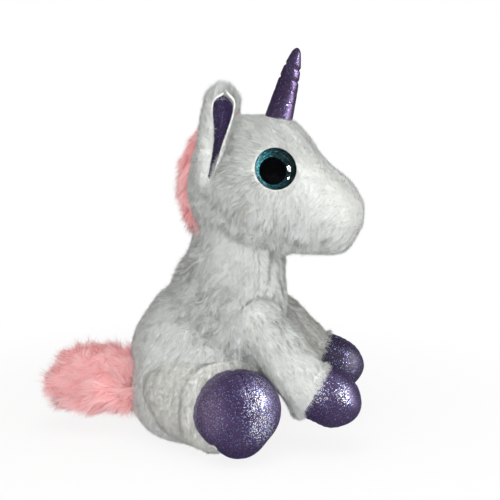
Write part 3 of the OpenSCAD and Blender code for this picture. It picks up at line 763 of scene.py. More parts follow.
# Wrinkles of the pelt behind each hind hoof: rings round the hoof, seen from the side, that fade out
# above and below it and towards the middle of the toy.
wrinkle = {"middle": (21.5, 24.5), "width": 1.7,
           "rings": [(26.8, 0.4), (30.6, 0.7), (35.0, 0.9), (40.0, 0.8), (45.4, 0.5)]}


def wrinkleDepth(p):
    dx, dz = wrinkle["middle"][0] - p[..., 0], p[..., 2] - wrinkle["middle"][1]
    angle = np.arctan2(dz, dx)
    r = np.hypot(dx, dz) + 0.9 * np.sin(2.6 * angle + 0.8) - 1.2 * clip01(angle - 0.5)
    fade = bell(angle - 0.22, 0.62) * ease((np.abs(p[..., 1]) - 14) / 12)
    return sum(depth * bell(r - ring, wrinkle["width"]) for ring, depth in wrinkle["rings"]) * fade


# The torso is a stack of rings. Its seat is the narrow flat base, and its neck runs up inside the
# head.
torso = {
    "height": 100.0, "rumpHeight": 30.0, "seat": 23.0, "neckTop": 124.0,
    # reach at the rump and at the neck's foot, power of its easing, and how far the neck draws in
    "backReach": (39.5, 5.5, 1.7, 3.5), "frontReach": (43.0, 47.5, 0.7, 5.0),
    "sideReach": (38.0, 27.0, 1.15, 1.0),
    "bendFrom": (21, 0, 98), "bendTo": (21, 0, 119),
    "pileTop": 123.0, "thinBelow": 8.0, "underLeg": (12.5, 13.0, 2.5), "underThigh": (31.0, 21.0, 9.0),
    "shoulder": (33, -31, 68), "puff": 11.5, "puffSize": (18, 18, 20), "waves": 0.7,
    "hump": 3.2, "humpAt": 95.0, "humpWidth": 7.0, "rumpEdge": 9.0, "rumpFade": 24.0,
    "creaseFrom": (-17.0, 86.5), "creaseWay": (0.758, -0.652), "creaseDepth": 2.4, "rumpBulge": 2.0,
    "creaseBow": 0.004, "creaseMiddle": 25.0, "creaseShift": 2.0, "creaseWidth": 4.0,
    "ruffles": [(1.0, (-8, -14, 100), (20, 26, 16)), (1.0, (8, -30, 76), (22, 22, 24)),
                (1.0, (36, -24, 60), (22, 24, 20)), (0.7, (14, -38, 60), (24, 16, 10))],
}


# Distance from the crease that parts the trunk from the rump, positive on the rump's side, and
# how far along the crease a point lies.
def creasePlace(p):
    w = torso["creaseWay"]
    dx, dz = p[..., 0] - torso["creaseFrom"][0], p[..., 2] - torso["creaseFrom"][1]
    along = dx * w[0] + dz * w[1]
    bow = torso["creaseBow"] * (along - torso["creaseMiddle"]) ** 2
    return dx * w[1] - dz * w[0] + bow - torso["creaseShift"], along


# A reach in one direction at a height: below the rump's height it grows from the seat's as a quarter
# circle does, above that it eases to the neck's, and it draws in along the neck.
def torsoReach(z, rump, neck, power, drawnIn):
    low = torso["seat"] + (rump - torso["seat"]) * dome(1 - z / torso["rumpHeight"])
    share = clip01((z - torso["rumpHeight"]) / (torso["height"] - torso["rumpHeight"]))
    reach = np.where(z < torso["rumpHeight"], low, rump + (neck - rump) * ease(share ** power))
    return reach - drawnIn * clip01((z - torso["height"]) / (torso["neckTop"] - torso["height"]))


# Half an ellipse at each height, from the front round one side to the back. A hump behind the neck, a
# puff at the shoulder and slow waves are bells added outwards, and the crease is a bell cut inwards.
def torsoSurface(u, v, side):
    z = v * torso["neckTop"]
    back, front = -torsoReach(z, *torso["backReach"]), torsoReach(z, *torso["frontReach"])
    half = torsoReach(z, *torso["sideReach"])
    a = np.pi * u
    out = vec(np.cos(a), side * np.sin(a), np.zeros_like(a))
    p = vec((back + front) / 2 + (front - back) / 2 * np.cos(a), side * half * np.sin(a), z)
    away, along = creasePlace(p)
    beside = 0.40 + 0.60 * np.sin(a)
    reach = 1 / (1 + np.exp(-(along + 6) / 3)) / (1 + np.exp((along - 56) / 4))
    deep = torso["creaseDepth"] * (0.35 + 1.25 * clip01(along / 50) ** 1.5)
    edge, fade = torso["rumpEdge"], torso["rumpFade"]
    grow = torso["rumpBulge"] * ease(away / edge) * bell(np.clip(away - edge, 0, None), fade)
    grow = grow + torso["hump"] * bell(z - torso["humpAt"], torso["humpWidth"]) * clip01(-np.cos(a))
    grow = grow + torso["puff"] * patch(p, torso["shoulder"], torso["puffSize"])
    grow = grow - deep * bell(away, torso["creaseWidth"]) * reach * beside
    p = p + out * (grow + drift(p, 38, 3) * torso["waves"])[..., None]
    seam = bell(np.minimum(u, 1 - u) * 110, 2.0)
    return p - out * (seam * 0.3 + wrinkleDepth(p))[..., None]


# The head is a row of rings from its back to the snout: share of the length, lowest and highest point
# as shares of the height, and half width as a share of the fullest.
head = {
    "backX": -4.0, "length": 94.0, "chinZ": 104.0, "height": 76.0, "halfWidth": 39.5,
    "cheekLevel": 0.46, "seamHalf": 9.0, "soft": 0.018, "waves": 0.6, "fillGap": 3.2,
    "creaseFrom": (52.0, 143.0), "creaseWay": (0.45, 0.89), "creaseLength": 17.0,
    "creaseDepth": 1.3, "creaseWidth": 2.2,
    "neckX": 21.0, "neckRadius": 21.0, "neckTop": 112.0,
    "hornFoot": (44.0, 0.0, 179.0), "hornRadius": 7.0,
    "ruffles": [(1.0, (14, -30, 118), (18, 30, 17)), (1.0, (40, -30, 114), (20, 30, 14)),
                (0.85, (64, -22, 112), (14, 22, 12)), (0.75, (20, -36, 142), (22, 30, 24))],
    "share": [0, .025, .06, .13, .20, .31, .38, .45, .54, .62, .68, .75, .82, .89, .945, .98, 1],
    "low": [.38, .28, .20, .10, .05, .015, 0, 0, 0, 0, 0, 0, .005, .03, .085, .15, .22],
    "top": [.62, .74, .84, .93, .975, 1, 1, 1, .98, .92, .83, .715, .635, .57, .50, .43, .36],
    "width": [.30, .46, .60, .78, .90, .985, 1, .965, .88, .79, .72, .65, .60, .52, .41, .28, .14],
}
eye = {
    "x": 43.5, "z": 152.0, "yaw": 15.0, "pitch": 13.0, "across": 22.0, "height": 6.5,
    "base": 0.9, "foot": 0.05, "ink": (-1.9, -1.35, 6.5),
    "seat": 11.0, "seatEase": 5.5, "seatReach": 15.0, "bare": 10.5, "bareReach": 14.0,
    "partSize": 16.0,
}


def headRow(s):
    k = head["soft"]
    low = head["chinZ"] + head["height"] * smoothTable(s, head["share"], head["low"], k)
    top = head["chinZ"] + head["height"] * smoothTable(s, head["share"], head["top"], k)
    half = head["halfWidth"] * smoothTable(s, head["share"], head["width"], k)
    return low, top, half


def headSideY(x, z):
    low, top, half = headRow(np.array((x - head["backX"]) / head["length"]))
    middle = low + head["cheekLevel"] * (top - low)
    rise = (z - middle) / (top - middle) if z > middle else (middle - z) / (middle - low)
    return float(half * math.sqrt(1 - rise * rise))


eyeMiddle = np.array([eye["x"], -headSideY(eye["x"], eye["z"]), eye["z"]])
eyeOut = np.array([math.cos(math.radians(eye["pitch"])) * math.sin(math.radians(eye["yaw"])),
                   -math.cos(math.radians(eye["pitch"])) * math.cos(math.radians(eye["yaw"])),
                   math.sin(math.radians(eye["pitch"]))])
eyeAcross = unit(np.cross([0, 0, 1.0], eyeOut))
eyeUp = np.cross(eyeOut, eyeAcross)


# A flat seat round the eye's axis, which eases into the face, on both sides of the head.
def eyeSeat(p):
    sign = np.where(p[..., 1:2] > 0, -1.0, 1.0)
    q = p * np.concatenate([np.ones_like(sign), sign, np.ones_like(sign)], -1) - eyeMiddle
    rise = q @ eyeOut
    away = np.linalg.norm(q - rise[..., None] * eyeOut, axis=-1)
    near = (1 - ease((away - eye["seat"]) / eye["seatEase"])) * (np.abs(rise) < eye["seatReach"])
    sunk = (np.minimum(rise, -0.1) - rise) * near
    move = eyeOut * sunk[..., None]
    return p + move * np.concatenate([np.ones_like(sign), sign, np.ones_like(sign)], -1)


# One panel of the head between two angles about its long axis. The half width is across, the cheek
# level splits each ring into an upper and a lower half ellipse, and both ends close on a point.
def headSurface(u, v, part):
    t = 0.5 - 0.5 * np.cos(np.pi * v)
    k = dome((0.025 - t) / 0.025) * dome((t - 0.985) / 0.015)
    s = clip01((t - 0.012) / 0.98)
    low, top, half = headRow(s)
    middle = low + head["cheekLevel"] * (top - low)
    b = np.arcsin(np.minimum(0.90, head["seamHalf"] / np.maximum(half, 0.1)))
    crown, chin = np.pi / 2, 1.5 * np.pi
    start, end = {"right": (crown + b, chin - b), "left": (crown - b, b - crown),
                  "top": (crown + b, crown - b), "chin": (chin - b, chin + b)}[part]
    a = start + (end - start) * u
    up = np.where(np.sin(a) > 0, top - middle, middle - low)
    x = head["backX"] + head["length"] * (s + 0.012 * (t - 0.5) * (1 - k))
    p = vec(x, k * half * np.cos(a), middle + k * up * np.sin(a))
    out = unit(p - np.array([40.0, 0, 140.0]))
    p = p + out * (drift(p, 34, 11) * head["waves"] * k)[..., None]
    seam = bell(np.abs(p[..., 1]) - head["seamHalf"], 1.6) * (half > 12) * k
    p = p - out * (seam * np.where(np.sin(a) > 0, 0.15, 0.5))[..., None]
    # a soft crease runs from the eye's lower front down to the cheek
    dx, dz = p[..., 0] - head["creaseFrom"][0], head["creaseFrom"][1] - p[..., 2]
    way = head["creaseWay"]
    along = clip01((dx * way[0] + dz * way[1]) / head["creaseLength"])
    crease = head["creaseDepth"] * bell(dx * way[1] - dz * way[0], head["creaseWidth"])
    crease = crease * np.sin(np.pi * along) ** 0.6 * (np.abs(p[..., 1]) > 10)
    return eyeSeat(p - out * crease[..., None])


# Whether points lie inside the head, at least about the given depth under its surface.
def insideHead(p, depth):
    s = (p[..., 0] - head["backX"]) / head["length"]
    low, top, half = headRow(clip01(s))
    middle = low + head["cheekLevel"] * (top - low)
    up = np.where(p[..., 2] > middle, top - middle, middle - low)
    q = np.sqrt((p[..., 1] / half) ** 2 + ((p[..., 2] - middle) / up) ** 2)
    return (q < 1 - depth / 30) & (s > 0.02) & (s < 0.98)


# Legs: middle lines, radii and seams.
foreleg = {
    "shoulder": (34.0, -28.0, 71.0), "slope": 54.0, "length": 43.5, "topRadius": 13.5,
    "cuff": 5.0, "hoofSlope": 26.0, "leftLean": -6.0, "overlap": 3.0, "skirt": 0.35,
    "bareAbove": 78.0, "bareWithin": 12.0, "radii": [12.0, 12.5, 14.0, 14.0, 14.8],
    "cuffSwell": 0.8, "cuffTuck": 1.2, "nib": 2.6,
}
frontHoof = {"radius": 14.75, "length": 27.0, "bulge": 0.06, "point": 0.06, "pinch": 0.02, "seam": 0.5,
             "wrinkle": 0.12}
hindleg = {
    "hip": (15.0, -23.0, 24.5), "yaw": 24.0, "length": 16.0, "cuffRadius": 21.0,
    "rootMiddle": (5.0, -10.0, 33.0), "rootAcross": 35.0, "rootUp": 30.0, "overlap": 2.0,
    "bareWithin": 20.0, "swell": 2.0, "hindSwell": 4.6, "cuffSwell": 2.2, "cuffTuck": 2.0,
}
hindHoof = {"radius": 22.0, "length": 26.0, "bulge": 0.09, "point": 0.025, "pinch": 0.10, "seam": 0.7,
            "wrinkle": 0.12}


def slopeWay(degrees):
    return np.array([math.cos(math.radians(degrees)), 0, -math.sin(math.radians(degrees))])


shoulder = np.array(foreleg["shoulder"])
ankle = shoulder + slopeWay(foreleg["slope"]) * foreleg["length"]
frontCuff = ankle + slopeWay(foreleg["hoofSlope"]) * foreleg["cuff"]
yaw = math.radians(hindleg["yaw"])
hindWay = np.array([math.sin(yaw), -math.cos(yaw), 0])
hindAcross = np.array([math.cos(yaw), math.sin(yaw), 0])
hip = np.array(hindleg["hip"])
hindCuff = hip + hindWay * hindleg["length"]


# The middle line runs from behind the shoulder to just past the cuff, with its corner at the ankle
# rounded. The radius grows as a sphere does at the top, then eases to the ankle's. Its hind half is
# drawn out towards the belly at the top, so that the leg grows out of the trunk.
def forelegSurface(u, v):
    r = foreleg["topRadius"]
    total = r + foreleg["length"] + foreleg["cuff"] + foreleg["overlap"]
    a = v * total
    along = [0, r, r + foreleg["length"] * 0.75, r + foreleg["length"], total]
    d1, d2 = slopeWay(foreleg["slope"]), slopeWay(foreleg["hoofSlope"])
    stops = np.array([shoulder - d1 * r, shoulder, shoulder + d1 * foreleg["length"] * 0.75, ankle,
                      frontCuff + d2 * foreleg["overlap"]])
    path = np.stack([smoothTable(a, along, stops[:, k], 5.0) for k in range(3)], -1)
    radius = dome(1 - a / r) * np.interp(a, along, foreleg["radii"])
    radius = radius + foreleg["cuffSwell"] * bell(a - total + 5.5, 3.5)
    radius = radius - foreleg["cuffTuck"] * bell(a - total, 1.6)
    p = tubeSurface(path, radius, (0, 1, 0), u)
    hind = (p - path) * np.array([1, 0, 1.0]) * (np.cos(2 * np.pi * u) > 0)[..., None]
    p = p + hind * (foreleg["skirt"] * (1 - ease(a / (r + foreleg["length"] * 0.62))))[..., None]
    out = unit(p - path)
    crease = bell(a - r - foreleg["length"] * 0.93, 3.0) * clip01(out[..., 2])
    nib = bell(a - total + 3.5, 2.6) * clip01(-out[..., 2] * 0.75 - out[..., 0] * 0.65) ** 8
    return p + out * (drift(p, 22, 21) * 0.5 - crease + nib * foreleg["nib"])[..., None]


# From a wide root inside the torso to the cuff. The radius eases between the two, swells just before
# the cuff and tucks in at it, and the wrinkles are cut in.
def thighSurface(u, v):
    root = np.array(hindleg["rootMiddle"])
    middle = root + (hindCuff + hindWay * hindleg["overlap"] - root) * v[..., None]
    share = ease(v ** 0.9)
    across = hindleg["rootAcross"] + (hindleg["cuffRadius"] + 0.3 - hindleg["rootAcross"]) * share
    up = hindleg["rootUp"] + (hindleg["cuffRadius"] + 0.3 - hindleg["rootUp"]) * share
    hindSide = clip01(-np.cos(2 * np.pi * u))
    swell = (hindleg["swell"] + hindleg["hindSwell"] * hindSide) * np.sin(np.pi * v) ** 0.8
    swell = swell + hindleg["cuffSwell"] * bell(v - 0.88, 0.08)
    swell = swell - hindleg["cuffTuck"] * bell(1 - v, 0.035) + 1.2 * np.sin(np.pi * v)
    a = 2 * np.pi * u
    p = middle + ((across + swell) * np.cos(a))[..., None] * hindAcross \
        + ((up + swell) * np.sin(a))[..., None] * upWay
    p = p + unit(p - middle) * (drift(p, 20, 31) * 0.5 - wrinkleDepth(p))[..., None]
    p[..., 2] = np.maximum(p[..., 2], 1.0)
    return p


# A hoof from its cuff to its blunt end. The radius swells by the bulge and closes as a blunt cap.
# Its two panels meet in a groove, which ends in a small point under the hoof, and both pucker
# slightly along the cuff and the seam.
def hoofSurface(u, v, hoof, middle, way, x, y, start, pointAt):
    t = v * np.pi / 2
    s = np.sin(t) ** 1.15
    r = hoof["radius"] * (1 + hoof["bulge"] * np.sin(np.pi * s)) * clip01(1 - s ** 3) ** 0.45
    a = start + np.pi * u
    edge = np.minimum(u, 1 - u) * np.pi * np.maximum(r, 2)
    gap = np.abs((a - pointAt + np.pi) % (2 * np.pi) - np.pi)
    r = r - hoof["seam"] * bell(edge, 1.1) * clip01((1 - s) * 6) * np.clip(gap / 0.6, 0.25, 1)
    pucker = np.sin(s * hoof["length"] * 1.9) * bell(edge, 5.0)
    gather = np.sin(a * 26) * bell(s * hoof["length"], 4.0)
    r = r + hoof["wrinkle"] * (pucker * clip01((1 - s) * 4) + gather)
    fade = np.sin(np.pi * clip01(0.12 + 0.88 * s)) ** 0.8
    r = r * (1 + fade * (hoof["point"] * bell(gap, 0.34) - hoof["pinch"] * bell(gap - 0.78, 0.42)))
    z = hoof["length"] * s
    p = around(middle + z[..., None] * way, r, a, x, y)
    return p + unit(p - (middle + way * hoof["length"] * 0.35)) * (drift(p, 15, 41) * 0.25)[..., None]


# Pile settings. shape gives length, rise from the normal in degrees, and how ruffled it is.
def torsoShape(p):
    ruffle = patches(p, torso["ruffles"])
    ruffle = ruffle * (1 - 0.85 * ease((creasePlace(p)[0] - 1) / 9))
    chest = patch(p, (48, -8, 82), (14, 30, 30))
    rump = patch(p, (-36, -10, 40), (20, 50, 36))
    ruffle = ruffle * (1 - 0.9 * chest)
    length = 4.4 + 1.6 * ruffle - 0.9 * chest - 1.0 * rump
    return length, 70 - 15 * ruffle + 3 * rump, 0.06 + 0.94 * ruffle


def torsoFlow(p, normal):
    rump = ease(creasePlace(p)[0] / 14)
    return vec(-0.30 - 0.25 * rump, 0 * p[..., 0], -1 + 0 * p[..., 0])


# What the looks share; each piece's look adds its own.
furLook = {"steps": 1, "perArea": 13.0, "lay": 0.5, "guard": 0.09, "grain": 0.10, "streak": 0.42,
           "fold": 0.0, "lift": 0.0, "sway": 0.30, "riseSpread": 10, "tuftPull": 0.50}
# fold darkens the pile in the wrinkles: painted shade
torsoLook = dict(furLook, shape=torsoShape, fold=0.16, driftSize=13, stray=0.21, tuftSize=3.2,
                 width=0.24, tilt=0.20, tone=0.80)


# No pile grows deep under a leg or inside the head, and it is thinner just above the seat.
def torsoShare(p):
    q = onRight(p)
    *leg, legDepth = torso["underLeg"]
    *thigh, thighDepth = torso["underThigh"]
    hidden = insideTube(q, shoulder, ankle, *leg) > legDepth
    hidden |= insideTube(q, hindleg["rootMiddle"], hindCuff, *thigh) > thighDepth
    hidden |= (p[..., 2] > torso["pileTop"]) | insideHead(p, 3.5)
    return np.where(hidden, 0.0, np.where(p[..., 2] < torso["thinBelow"], 0.6, 1.0))


for side, word in sides:
    p = gridOf(lambda u, v: torsoSurface(u, v, side), 110, 130)
    pelt("torsoPelt_" + word, "torsoPile_" + word, p, "torso_side_" + word, torsoLook, torsoFlow,
         100 + side, ("torso", "head", torso["bendFrom"], torso["bendTo"]), torsoShare)
print("torso done")


# The seat is a flat oval with a rounded rim and a short nap.
def seatSurface(u, v):
    r = torso["seat"] * np.minimum(1, v * 1.12)
    a = 2 * np.pi * u
    return vec(r * np.cos(a), r * np.sin(a), 0.15 + 1.7 * ease((v - 0.86) / 0.14))


seat = gridMesh("seatPanel", gridOf(seatSurface, 97, 24), wrap=True)
finish(seat, backings["white"], "torso", "seat_panel")


def headShape(p):
    cheek = patches(p, head["ruffles"])
    snout = clip01((p[..., 0] - 60) / 18)
    brow = patch(p, (40, 0, 182), (26, 26, 16))
    smoothFace = clip01(np.maximum(snout, brow) + patch(p, (62, -24, 150), (18, 22, 20)))
    ruffle = cheek * (1 - 0.75 * smoothFace)
    length = 4.3 + 1.7 * ruffle - 1.2 * smoothFace
    return length, 70 - 16 * ruffle + 4 * smoothFace, 0.04 + 0.96 * ruffle


# Back from the snout over the forehead and crown, down the cheeks, and away from the eye.
def headFlow(p, normal):
    q = onRight(p) - eyeMiddle
    near = np.exp(-(q ** 2).sum(-1) / eye["partSize"] ** 2)[..., None]
    away = unit(q)
    away[..., 1] *= np.where(p[..., 1] > 0, -1, 1)
    cheek = ease((158 - p[..., 2]) / 26) * (1 - ease((p[..., 0] - 58) / 22))
    back = ease((8 - p[..., 0]) / 14)
    down = np.maximum(cheek, back)
    base = vec(-1 + 0.65 * down, 0 * down, -0.15 - 0.85 * down)
    return base + away * near * 0.9


headLook = dict(furLook, shape=headShape, grain=0.11, driftSize=11, stray=0.20, tuftSize=3.0,
                width=0.23, tilt=0.18, tone=0.80)


# No pile grows under the eyes, over the neck's opening or under the horn's foot.
def headShare(p):
    q = onRight(p) - eyeMiddle
    rise = q @ eyeOut
    away = np.linalg.norm(q - rise[..., None] * eyeOut, axis=-1)
    hidden = (away < eye["bare"]) & (np.abs(rise) < eye["bareReach"])
    neck = np.hypot(p[..., 0] - head["neckX"], p[..., 1]) < head["neckRadius"]
    hidden |= neck & (p[..., 2] < head["neckTop"])
    hidden |= np.linalg.norm(p - np.array(head["hornFoot"]), axis=-1) < head["hornRadius"]
    return np.where(hidden, 0.0, 1.0)


# name, CAD node, columns, slot and seed
headPanels = {"right": ("headSide_right", "head_side_right", 100, "white_pile", 300),
              "left": ("headSide_left", "head_side_left", 100, "white_pile", 301),
              "top": ("headStrip", "head_gusset", 34, "white_pile", 234),
              "chin": ("chinStrip", "chin_gusset", 34, "white_nap", 234)}
for part, (name, node, columns, slotName, seed) in headPanels.items():
    p = gridOf(lambda u, v: headSurface(u, v, part), columns, 130)
    pelt(name + "Pelt", name + "Pile", p, node, headLook, headFlow, seed, "head", headShare,
         slotName=slotName)


# The stuffing under the pelt: the head's rings drawn in, closed at both ends as a ball is.
def headFillSurface(u, v):
    t = 0.5 - 0.5 * np.cos(np.pi * v)
    k = np.sqrt(clip01(1 - (2 * t - 1) ** 10))
    low, top, half = headRow(0.06 + 0.88 * t)
    middle = low + head["cheekLevel"] * (top - low)
    a = 2 * np.pi * u
    up = np.where(np.sin(a) > 0, top - middle, middle - low) - head["fillGap"]
    x = head["backX"] + head["length"] * (0.06 + 0.88 * t)
    return vec(x, k * (half - head["fillGap"]) * np.cos(a), middle + k * up * np.sin(a))


fibre = fibreMaterial("fibreFill", (0.80, 0.79, 0.76))
headFill = gridMesh("headFill", gridOf(headFillSurface, 65, 60), wrap=True)
finish(headFill, fibre, "head", "head_stuffing")
print("head done")

# Eyes: a clear dome on a low upright edge, cast round the glitter ring and the pupil.
eyeClear = lensMaterial("clearDome")


def lensSurface(u, v, side):
    h = eye["height"] - eye["base"]
    big = ((eye["across"] / 2) ** 2 + h * h) / (2 * h)
    widest = math.asin(eye["across"] / 2 / big)
    upper = clip01(v / 0.75)
    edge = clip01((v - 0.75) / 0.10)
    lower = clip01((v - 0.85) / 0.15)
    r = big * np.sin(widest * upper) * (1 - lower)
    z = eye["base"] + big * np.cos(widest * upper) - (big - h) - (eye["base"] - eye["foot"]) * edge
    a = 2 * np.pi * u
    p = around(eyeMiddle + z[..., None] * eyeOut, r, a, eyeAcross, eyeUp)
    return p if side < 0 else p * np.array([1, -1, 1])


# The disc and the pupil's post are the CAD's own, and are painted as deep as their front face.
for side, word in sides:
    lens = gridMesh("lens_" + word, gridOf(lambda u, v: lensSurface(u, v, side), 97, 41), wrap=True)
    lens.data.set_sharp_from_angle(angle=math.radians(35))
    finish(lens, eyeClear, "head", "eye_lens_" + word)
    flip = np.array([1, -side, 1])
    wayOut = eyeOut * flip
    inkMiddle = (eyeMiddle + eyeAcross * eye["ink"][0] + eyeUp * eye["ink"][1]) * flip
    for node in ("glitter_disc_" + word, "pupil_post_" + word):
        obj = bpy.data.objects[node]
        co = np.empty(len(obj.data.vertices) * 3, np.float32)
        obj.data.vertices.foreach_get("co", co)
        front = ((co.reshape(-1, 3) / mm - inkMiddle) @ wayOut).max() - 0.35
        dress(obj, irisMaterial("iris_" + node, eyeMiddle * flip, eye["across"] / 2,
                                (inkMiddle, eye["ink"][2]), tuple(wayOut), front))
print("eyes done")

# Ears: a leaf of pile rolled round its lining. Rows give radius and half opening by height.
ear = {
    "x": 6.5, "z": 148.0, "out": 34.8, "height": 46.0, "radius": 8.5, "wall": 1.0, "leftLean": -7.0,
    "axis": (0.24, -0.13, 0.962), "open": (0.5, -0.86, 0.0),
    "rows": [0, 0.15, 0.35, 0.55, 0.75, 0.88, 0.95, 1.0],
    "wide": [0.62, 0.72, 0.86, 0.96, 1.0, 0.92, 0.66, 0.14], "gap": [22, 23, 26, 35, 52, 56, 12, 2],
    "twist": 6.0, "lowIn": 4.0, "backShift": -0.6, "footDepth": 0.20, "footIn": 9.0,
    "shallow": 7.0, "liningTop": 0.93, "edgeTop": 0.90, "edgeInset": 0.6,
}
earAxis, earOpen = np.array(ear["axis"]), np.array(ear["open"])
earSide = np.cross(earAxis, earOpen)
earRoot = np.array([ear["x"], -ear["out"], ear["z"]])


# Part of a circle round the ear's axis at each height, from one edge of the opening round the back
# to the other edge, with the radius and the opening eased from row to row. The opening turns forwards
# towards the foot, and below it the leaf closes, narrows and runs into the head.
def earSurface(u, v, inset, side, trim=0.0):
    foot = clip01(-v / ear["footDepth"])
    r = ear["radius"] * smoothTable(v, ear["rows"], ear["wide"], 0.05)
    r = r * np.sqrt(1 - 0.9 * foot ** 2) - inset
    gap = np.radians(smoothTable(v, ear["rows"], ear["gap"], 0.05)) * (1 - clip01(4 * foot))
    gap = gap + trim / np.maximum(r, 1)
    low = 1 - clip01(v)
    a = gap + (2 * np.pi - 2 * gap) * u + np.radians(ear["twist"]) * low
    p = around(earRoot + (v * ear["height"])[..., None] * earAxis, r, a, earOpen, earSide)
    p = p + vec(-ear["backShift"] * low ** 2, ear["lowIn"] * low ** 1.5, 0 * low)
    p = p + (ear["footIn"] * foot ** 1.5)[..., None] * np.array([0.2, 1.0, 0])
    return setOn(p, side, earRoot, ear["leftLean"] if side > 0 else 0)


def earShape(p):
    tip = ease((p[..., 2] - ear["z"] - 0.74 * ear["height"]) / 9)
    return 3.1 + 2.4 * tip, 62 - 22 * tip, 0.28 - 0.1 * tip


def edgeShape(p):
    length, rise, ruffle = earShape(p)
    low = 1 - ease((p[..., 2] - ear["z"] - 6) / 16)
    return (0.42 - 0.24 * low) * length + 0.7 * np.maximum(0, length - 2.9), rise, ruffle


# Down over the foot of the ear, and up above it.
def earFlow(p, normal):
    up = ease((p[..., 2] - ear["z"] - 8) / 8)
    return vec(0.1 - 0.4 * (1 - up), 0 * up, 2 * up - 1)


earLook = dict(furLook, shape=earShape, lift=0.6, guard=0.10, grain=0.06, streak=0.24, driftSize=8,
               sway=0.25, stray=0.22, riseSpread=9, tuftSize=2.6, tuftPull=0.35, width=0.22, tilt=0.18,
               tone=0.86)
# painted light: the pile at the ear's tip is toned brighter
tipLook = dict(earLook, perArea=20.0, tone=0.97, stray=0.26)
edgeLook = dict(earLook, perArea=8.0, shape=edgeShape)


# The lining lies on the leaf's wall, closes over at its top as half an ellipse does, folds in along
# its middle, and comes out to the slit towards its foot.
def liningInset(u, v):
    fold = bell(u - 0.42, 0.06) * np.sin(np.pi * v) * 1.2
    return ear["wall"] + 0.15 + 5.0 * (1 - dome((v - 0.80) / 0.2)) + fold


def liningSurface(u, v, side):
    p = earSurface(u, v * ear["liningTop"], liningInset(u, v), side, trim=0.8)
    out = earOpen * np.array([1, -side, 1])
    return p + (ear["shallow"] * (1 - v) ** 1.3 * np.sin(np.pi * u) ** 2)[..., None] * out


# The bound edge is a thin roll up one side of the opening, over the top and down the other, with its
# path averaged over seven points. It is thicker on the second side and thins out at the top.
def earEdgeRings(side):
    up, inset = np.linspace(0, ear["edgeTop"], 60), ear["edgeInset"]
    ends = [earSurface(np.zeros(60), up, inset, side), earSurface(np.ones(60), up[::-1], inset, side)]
    path = np.pad(np.concatenate(ends), ((3, 3), (0, 0)), mode="edge")
    path = vec(*[np.convolve(path[:, c], np.ones(7) / 7, "valid") for c in range(3)])
    along = np.linspace(-1, 1, len(path))
    thick = (0.36 + 0.14 * np.tanh(along * 6)) * (1 - 0.93 * np.exp(-(along / 0.45) ** 4))
    return thinRoll(path, thick, earOpen * np.array([1, -side, 1]))


for side, word in sides:
    body = "ear_" + word
    outer = gridOf(lambda u, v: earSurface(u, v, 0.0, side), 80, 76, vEnds=(-ear["footDepth"], 1))
    pelt("earLeaf_" + word, "earPile_" + word, outer, "ear_outer_" + word, earLook, earFlow,
         300 + side, body, wall=ear["wall"])
    inner = gridOf(lambda u, v: liningSurface(u, v, side), 80, 60)
    tip = gridOf(lambda u, v: earSurface(u, v, ear["wall"], side), 60, 10, vEnds=(ear["liningTop"], 1))
    tipPile = pile("earTipPile_" + word, tip, tipLook, heading(0, 0, 1), seed=340 + side)
    finish(tipPile, piles["white"], body)
    lining = gridMesh("earLining_" + word, inner, wall=0.5)
    finish(lining, liningCloth, body, "ear_lining_" + word)
    rings = earEdgeRings(side)
    finish(gridMesh("earEdge_" + word, rings, wrap=True), backings["white"], body)
    edgePile = pile("earEdgePile_" + word, rings, edgeLook, heading(0.1, 0, 1), wrap=True,
                    seed=320 + side)
    finish(edgePile, piles["white"], body)
print("ears done")


def legShape(p):
    ruffle = 0.55 * patch(p, (42, -30, 66), (14, 20, 14))
    return 3.7 + 1.2 * ruffle, 70 - 13 * ruffle, 0.06 + 0.94 * ruffle


def legShare(p):
    inTrunk = (p[..., 2] > foreleg["bareAbove"]) & (np.abs(p[..., 1]) < foreleg["bareWithin"])
    return np.where(inTrunk, 0.0, 1.0)


def thighShape(p):
    ruffle = 0.5 * patch(p, (34, -34, 48), (16, 16, 10))
    return 3.0 + 1.2 * ruffle, 68 - 12 * ruffle, 0.22 + 0.7 * ruffle


def thighShare(p):
    return np.where(np.abs(p[..., 1]) < hindleg["bareWithin"], 0.0, 1.0)


